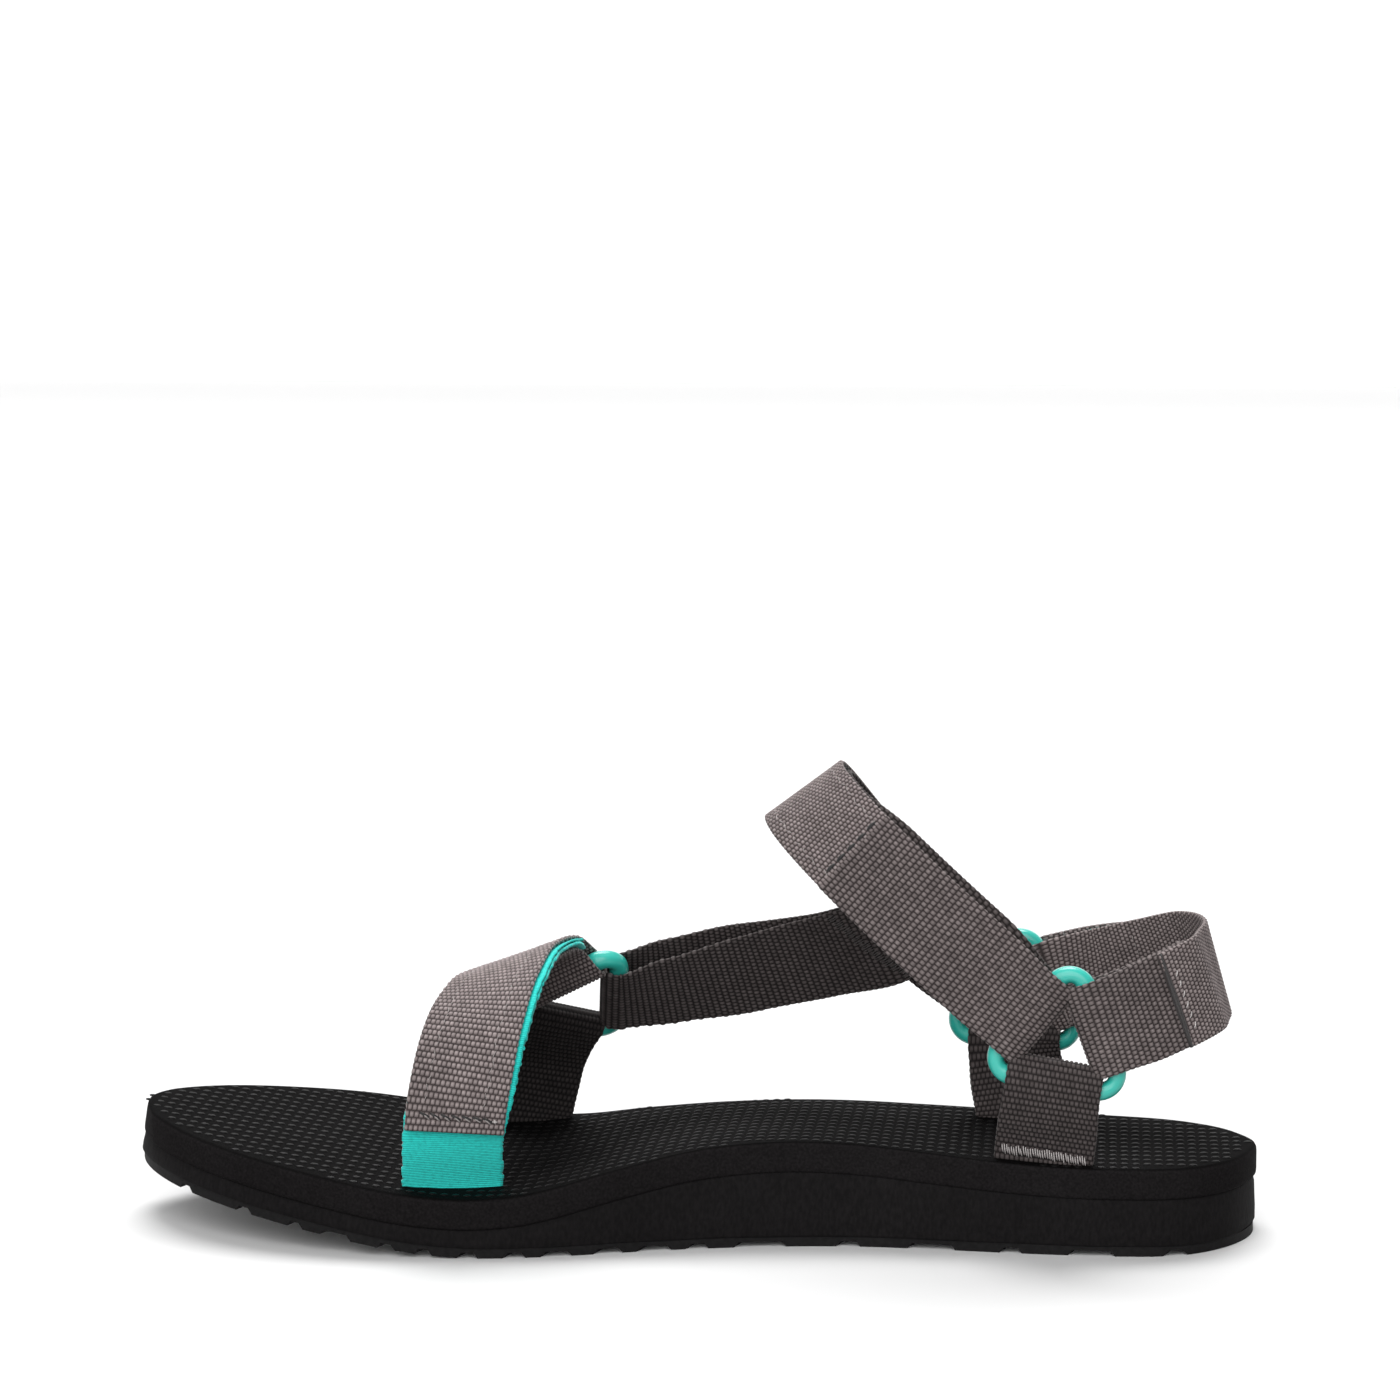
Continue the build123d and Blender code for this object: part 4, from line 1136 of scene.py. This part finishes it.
def make_toe():
    bar = RING_TOE.bar("toe")
    stub = layer(TOE_ROUTE, toe_gap, 1, 0, TOE_HINGE - FOLD_REACH)
    inner = layer(TOE_ROUTE, negative(toe_gap), 1)
    stations = joined(backwards(stub), around(RING_TOE, "toe", 1), inner)
    webbing("toe_strap_webbing", stations, narrowed(bar), 1, "sandal", ["toe_strap"], WEBBING)

    flap_line = layer(TOE_ROUTE, toe_gap, 1, TOE_HINGE - FOLD_REACH, TOE_FLAP_END)
    flap, piece = flap_webbing("toe_flap_webbing", flap_line, narrowed(bar), 1, "toe_flap", ROW, COLUMNS)
    fold(piece, TOE_ROUTE, toe_gap, 1, TOE_HINGE)

    seams = []
    for share in (-0.56, 0.62):
        seams += zigzag_along(flap, 12.0, flap.length - 6.0, share)
    sew("toe_flap_zigzag", seams, THREAD_LIGHT, 0.09, "toe_closure")
    end = flap.length - 3.4
    # painted shadow: a thick row of near-black thread under the light end stitches stands in for their shadow
    shadow = row_across(flap, end + 0.1, 0.74, 7, 0.95, -0.7, 0.12)
    sew("toe_flap_end_painted_shadow", shadow, THREAD_DARK_AND_SHADOW, 0.34, "toe_closure")
    row = row_across(flap, end + 0.7, 0.72, 7, 0.8, -1.3, 0.3)
    sew("toe_flap_end_row", row, THREAD_LIGHT, 0.19, "toe_closure")
    knot = [
        stitch(flap, (end - 0.5, -0.78), (end + 0.5, -0.8), 0.3),
        stitch(flap, (end, -0.74), (end, -0.84), 0.4),
    ]
    sew("toe_flap_knot", knot, THREAD_PALE, 0.22, "toe_closure")

    loop_line = layer(TOE_ROUTE, negative(under(toe_gap)), 1, TOE_TAPE_START, slide=to_rear)
    tape("toe_loop_pile", loop_line, TOE_TAPE_WIDTH, 1, 2, "sandal", "toe_loop_tape")
    hook_line = layer(TOE_ROUTE, under(toe_gap), 1, TOE_TAPE_START, TOE_FLAP_END - TAPE_INSET, to_rear)
    tape("toe_hook_strip", hook_line, TOE_TAPE_WIDTH, 1, 3, "toe_closure", "toe_hook_tape", True)
    # painted shade: the lateral toe anchor is near-black webbing, as it lies in deep shade
    anchor_loop("toe_anchor_lateral", TOE_ANCHOR_ROUTE, RING_TOE, 1, WEBBING_PAINTED_DEEP_SHADE, THREAD_DARK_AND_SHADOW)


def make_connector():
    bar = RING_TOE.bar("connector")
    outer = layer(CONNECTOR_ROUTE, connector_gap, 1)
    inner = layer(CONNECTOR_ROUTE, negative(connector_gap), 1)
    stations = joined(backwards(outer), around(RING_TOE, "connector", 1), inner)
    # painted shade: the connector is darker webbing, as it lies in shade
    webbing("connector_webbing", stations, narrowed(bar), 1, "sandal", ["connector_strap"], WEBBING_PAINTED_DARK_SHADE)
    inner_run = Ribbon(inner, narrowed(bar), WEB_THICKNESS, -1)
    band = bartack(inner_run, inner_run.length - 8.0, 2.6, 0.95, 40, -6.0)
    sew("connector_bartack", band, THREAD_MID, 0.13)


def behind(where):
    """How far the inner instep layer stands out behind the outer one."""
    return -INSTEP_LAYER_SHOW * ease((where - 4) / 14) * ease((64 - where) / 18)


def make_instep():
    width = narrowed(RING_MEDIAL.bar("instep"), RING_LATERAL.bar("instep"))
    outer = layer(INSTEP_ROUTE, instep_gap, -1, 0, INSTEP_STITCH - 0.8)
    inner = layer(INSTEP_ROUTE, negative(instep_gap), -1, slide=behind)
    back = layer(INSTEP_ROUTE, instep_gap, -1, INSTEP_TOTAL - LATERAL_RETURN, INSTEP_TOTAL)
    lateral_wrap = backwards(around(RING_LATERAL, "instep", 1))
    stations = joined(backwards(outer), around(RING_MEDIAL, "instep", -1))
    # painted half shade on the outer layer of the instep strap
    webbing("instep_strap_webbing", stations, width, -1, "sandal", ["instep_strap"], WEBBING_PAINTED_HALF_SHADE)
    stations = joined(inner, lateral_wrap, backwards(back))
    # painted shade on the inner layer, the lateral wrap and the back of the instep strap, which lie in shade
    # behind the outer layer
    webbing("instep_inner_webbing", stations, width, 1, "sandal", [], WEBBING_PAINTED_SHADE)

    upper_line = layer(INSTEP_ROUTE, instep_gap, -1, INSTEP_STITCH - 1.2, INSTEP_HINGE - FOLD_REACH)
    upper = webbing(
        "instep_upper_webbing", upper_line, FINE_WIDTH, -1, "sandal", [], WEBBING, FINE_ROW, FINE_COLUMNS
    )
    flap_line = layer(INSTEP_ROUTE, instep_gap, -1, INSTEP_HINGE - FOLD_REACH, INSTEP_FLAP_END)
    flap, piece = flap_webbing("instep_flap_webbing", flap_line, FINE_WIDTH, -1, "instep_flap")
    fold(piece, INSTEP_ROUTE, instep_gap, -1, INSTEP_HINGE)

    sew("instep_stitch_row", row_across(upper, 1.1, 0.74, 5, 0.74, 0.1, 0.38), THREAD_DARK_AND_SHADOW, 0.4)
    seams = []
    for share in (-0.76, 0.72):
        seams += zigzag_along(upper, 0.5, upper.length - 0.5, share)
    sew("instep_zigzag", seams, THREAD_LIGHT, 0.09)
    flap_seams = row_across(flap, flap.length - 3.5, 0.74, 9, 0.8, 0.5)
    for share in (-0.76, 0.72):
        flap_seams += zigzag_along(flap, 2 * FOLD_REACH + 0.5, flap.length - 5, share)
    sew("instep_flap_zigzag", flap_seams, THREAD_LIGHT, 0.09, "instep_closure")

    hook = under(instep_gap)
    tape_width = INSTEP_TAPE_WIDTH
    line = layer(INSTEP_ROUTE, negative(hook), -1, INSTEP_HINGE, INSTEP_FLAP_END + TAPE_INSET)
    tape("instep_loop_pile", line, tape_width, -1, 5, "sandal", "instep_loop_tape")
    line = layer(INSTEP_ROUTE, hook, -1, INSTEP_STITCH, INSTEP_HINGE)
    tape("instep_hook_strip_fixed", line, tape_width, -1, 6, "sandal", "instep_hook_tape_fixed", True)
    line = layer(INSTEP_ROUTE, hook, -1, INSTEP_HINGE, INSTEP_FLAP_END - TAPE_INSET)
    tape("instep_hook_strip_flap", line, tape_width, -1, 7, "instep_closure", "instep_hook_tape_flap", True)


def lowered(where):
    """How far the heel flap hangs below the strap that it closes on."""
    return -HEEL_FLAP_DROP * ease((HEEL_FOLD - 3 - where) / 14)


def make_heel():
    # painted shade: the heel anchors are darker webbing, as they lie in shade
    anchor_loop("heel_anchor_medial", HEEL_MEDIAL_ROUTE, RING_MEDIAL, -1, WEBBING_PAINTED_DARK_SHADE, THREAD_PALE)
    anchor_loop("heel_anchor_lateral", HEEL_LATERAL_ROUTE, RING_LATERAL, 1, WEBBING_PAINTED_DARK_SHADE, THREAD_LIGHT)

    bar = RING_MEDIAL.bar("heel")
    outer = layer(HEEL_ROUTE, sewn_gap, -1, 0, HEEL_LOOP_END)
    inner = layer(HEEL_ROUTE, negative(sewn_gap), -1, 0, HEEL_LOOP_END)
    stations = joined(backwards(outer), around(RING_MEDIAL, "heel", -1), inner)
    # painted half shade on the heel loop
    webbing("heel_loop_webbing", stations, narrowed(bar), -1, "sandal", ["heel_ring_loop"], WEBBING_PAINTED_HALF_SHADE)

    bar = RING_LATERAL.bar("heel")
    main = layer(HEEL_ROUTE, heel_main_offset, -1, HEEL_SEAM)
    stub = layer(HEEL_ROUTE, heel_gap, -1, HEEL_FOLD + FOLD_REACH, HEEL_TOTAL)
    stations = joined(main, backwards(around(RING_LATERAL, "heel", 1)), backwards(stub))
    width = narrowed(bar)
    strap = webbing(
        "heel_strap_webbing", stations, width, -1, "sandal", ["heel_strap"], WEBBING, FINE_ROW, FINE_COLUMNS
    )
    # the rolled hem at the heel seam, a real edge whose near-black colour is painted shade of the overlap
    hem = [[strap.at(0.5 + 0.2 * share, share, -0.35) for share in np.linspace(-0.99, 0.99, 15)]]
    sew("heel_seam_hem", hem, HEM_PAINTED_SHADE, 0.65)
    sew("heel_seam_stitches", row_across(strap, 2.3, 0.66, 6, 0.5, 0.9, 0.28), THREAD_PALE, 0.15)
    inside = Ribbon(main, width, WEB_THICKNESS, 1)
    seam = row_across(inside, inside.length - 22.0, 0.75, 9, 0.6)
    sew("heel_inside_stitches", seam, THREAD_LIGHT, 0.1)

    tip = HEEL_FOLD - HEEL_FLAP_LENGTH
    flap_line = layer(HEEL_ROUTE, heel_gap, -1, tip, HEEL_FOLD + FOLD_REACH, lowered)
    flap, piece = flap_webbing("heel_flap_webbing", flap_line, width, -1, "heel_flap")
    points, _ = layer(HEEL_ROUTE, heel_gap, -1, HEEL_FOLD - FOLD_REACH, HEEL_FOLD + FOLD_REACH)
    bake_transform(piece)
    sew("heel_flap_end_row", row_across(flap, 3.0, 0.72, 8, 0.75, 0.4), THREAD_LIGHT, 0.11, "heel_closure")

    hook = under(heel_gap)
    line = layer(HEEL_ROUTE, negative(hook), -1, tip, HEEL_FOLD - TAPE_INSET)
    tape("heel_loop_pile", line, TAPE_WIDTH, -1, 8, "sandal", "heel_loop_tape")
    line = layer(HEEL_ROUTE, hook, -1, tip + TAPE_INSET, HEEL_FOLD - TAPE_INSET, lowered)
    tape("heel_hook_strip", line, TAPE_WIDTH, -1, 9, "heel_closure", "heel_hook_tape", True)


# ---- stage, lights and camera
CAMERA_AZIMUTH = radians(5)
CAMERA_ELEVATION = radians(7.5)
CAMERA_DISTANCE = 1.070
CAMERA_TARGET = np.array((0.0015, 0.0, 0.1199))
CAMERA_LENS = 121.3
SENSOR = 36.0
STAGE_HALF_SIZE = 8.0
BACKDROP_DISTANCE = 3.0
BACKDROP_HEIGHT = 1.5
BACKDROP_GLOW = 0.7
FLOOR_ALBEDO = 0.78
WORLD_STRENGTH = 0.3
SOFT_LIGHTS = (  # name, strength, degrees across, direction
    ("overhead", 2.7, 38, (0.06, -0.4, -0.92)),
    ("front", 2.3, 65, (0.12, 0.85, -0.5)),
)


def aim(thing, direction):
    """Turn a light or camera so that it looks along a direction, upright."""
    thing.rotation_euler = Vector(direction).to_track_quat("-Z", "Y").to_euler()


def soft_light(name, strength, spread, direction):
    """A large distant softbox, spread degrees across, shining along a direction."""
    data = bpy.data.lights.new(name, "SUN")
    data.energy = strength
    data.angle = radians(spread)
    light = bpy.data.objects.new(name, data)
    bpy.context.scene.collection.objects.link(light)
    aim(light, direction)


def stage_plane(name, corners, look):
    """Four corners in metres, as a plane that isn't part of the sandal."""
    plane = new_object(name, np.array(corners) / MM, [[0, 1, 2, 3]])
    plane.data.materials.append(look.material)
    return plane


def make_stage():
    """A pale floor, a glowing backdrop, and soft light."""
    half = STAGE_HALF_SIZE
    pale = Look("pale_floor", (FLOOR_ALBEDO,) * 3, 0.95, Specular_IOR_Level=0.1)
    square = [(-half, -half, 0), (half, -half, 0), (half, half, 0), (-half, half, 0)]
    floor = stage_plane("floor", square, pale)
    floor.visible_diffuse = False
    glow = Look("backdrop", (0.9, 0.9, 0.9), 0.95, Emission_Strength=BACKDROP_GLOW)
    glow.set("Emission Color", (1, 1, 1, 1))
    back, height = BACKDROP_DISTANCE, BACKDROP_HEIGHT
    upright = [(-half, back, 0), (half, back, 0), (half, back, height), (-half, back, height)]
    stage_plane("backdrop", upright, glow)
    world = bpy.data.worlds.new("studio")
    bpy.context.scene.world = world
    world.use_nodes = True
    background = world.node_tree.nodes["Background"].inputs
    background["Color"].default_value = (1, 1, 1, 1)
    background["Strength"].default_value = WORLD_STRENGTH
    for name, strength, spread, direction in SOFT_LIGHTS:
        soft_light(name, strength, spread, direction)


def make_camera():
    level = cos(CAMERA_ELEVATION)
    back = np.array((sin(CAMERA_AZIMUTH) * level, -cos(CAMERA_AZIMUTH) * level, sin(CAMERA_ELEVATION)))
    data = bpy.data.cameras.new("camera")
    data.lens = CAMERA_LENS
    data.sensor_width = SENSOR
    data.clip_start = 0.05
    camera = bpy.data.objects.new("camera", data)
    bpy.context.scene.collection.objects.link(camera)
    camera.location = CAMERA_TARGET + back * CAMERA_DISTANCE
    aim(camera, -back)
    bpy.context.scene.camera = camera


make_camera()
make_stage()
bpy.context.scene.view_settings.view_transform = "Standard"
make_sole()
for ring in ("toe_ring", "ankle_ring_medial", "ankle_ring_lateral"):
    paint_node(ring, RING_PLASTIC)
make_toe()
make_connector()
make_instep()
make_heel()
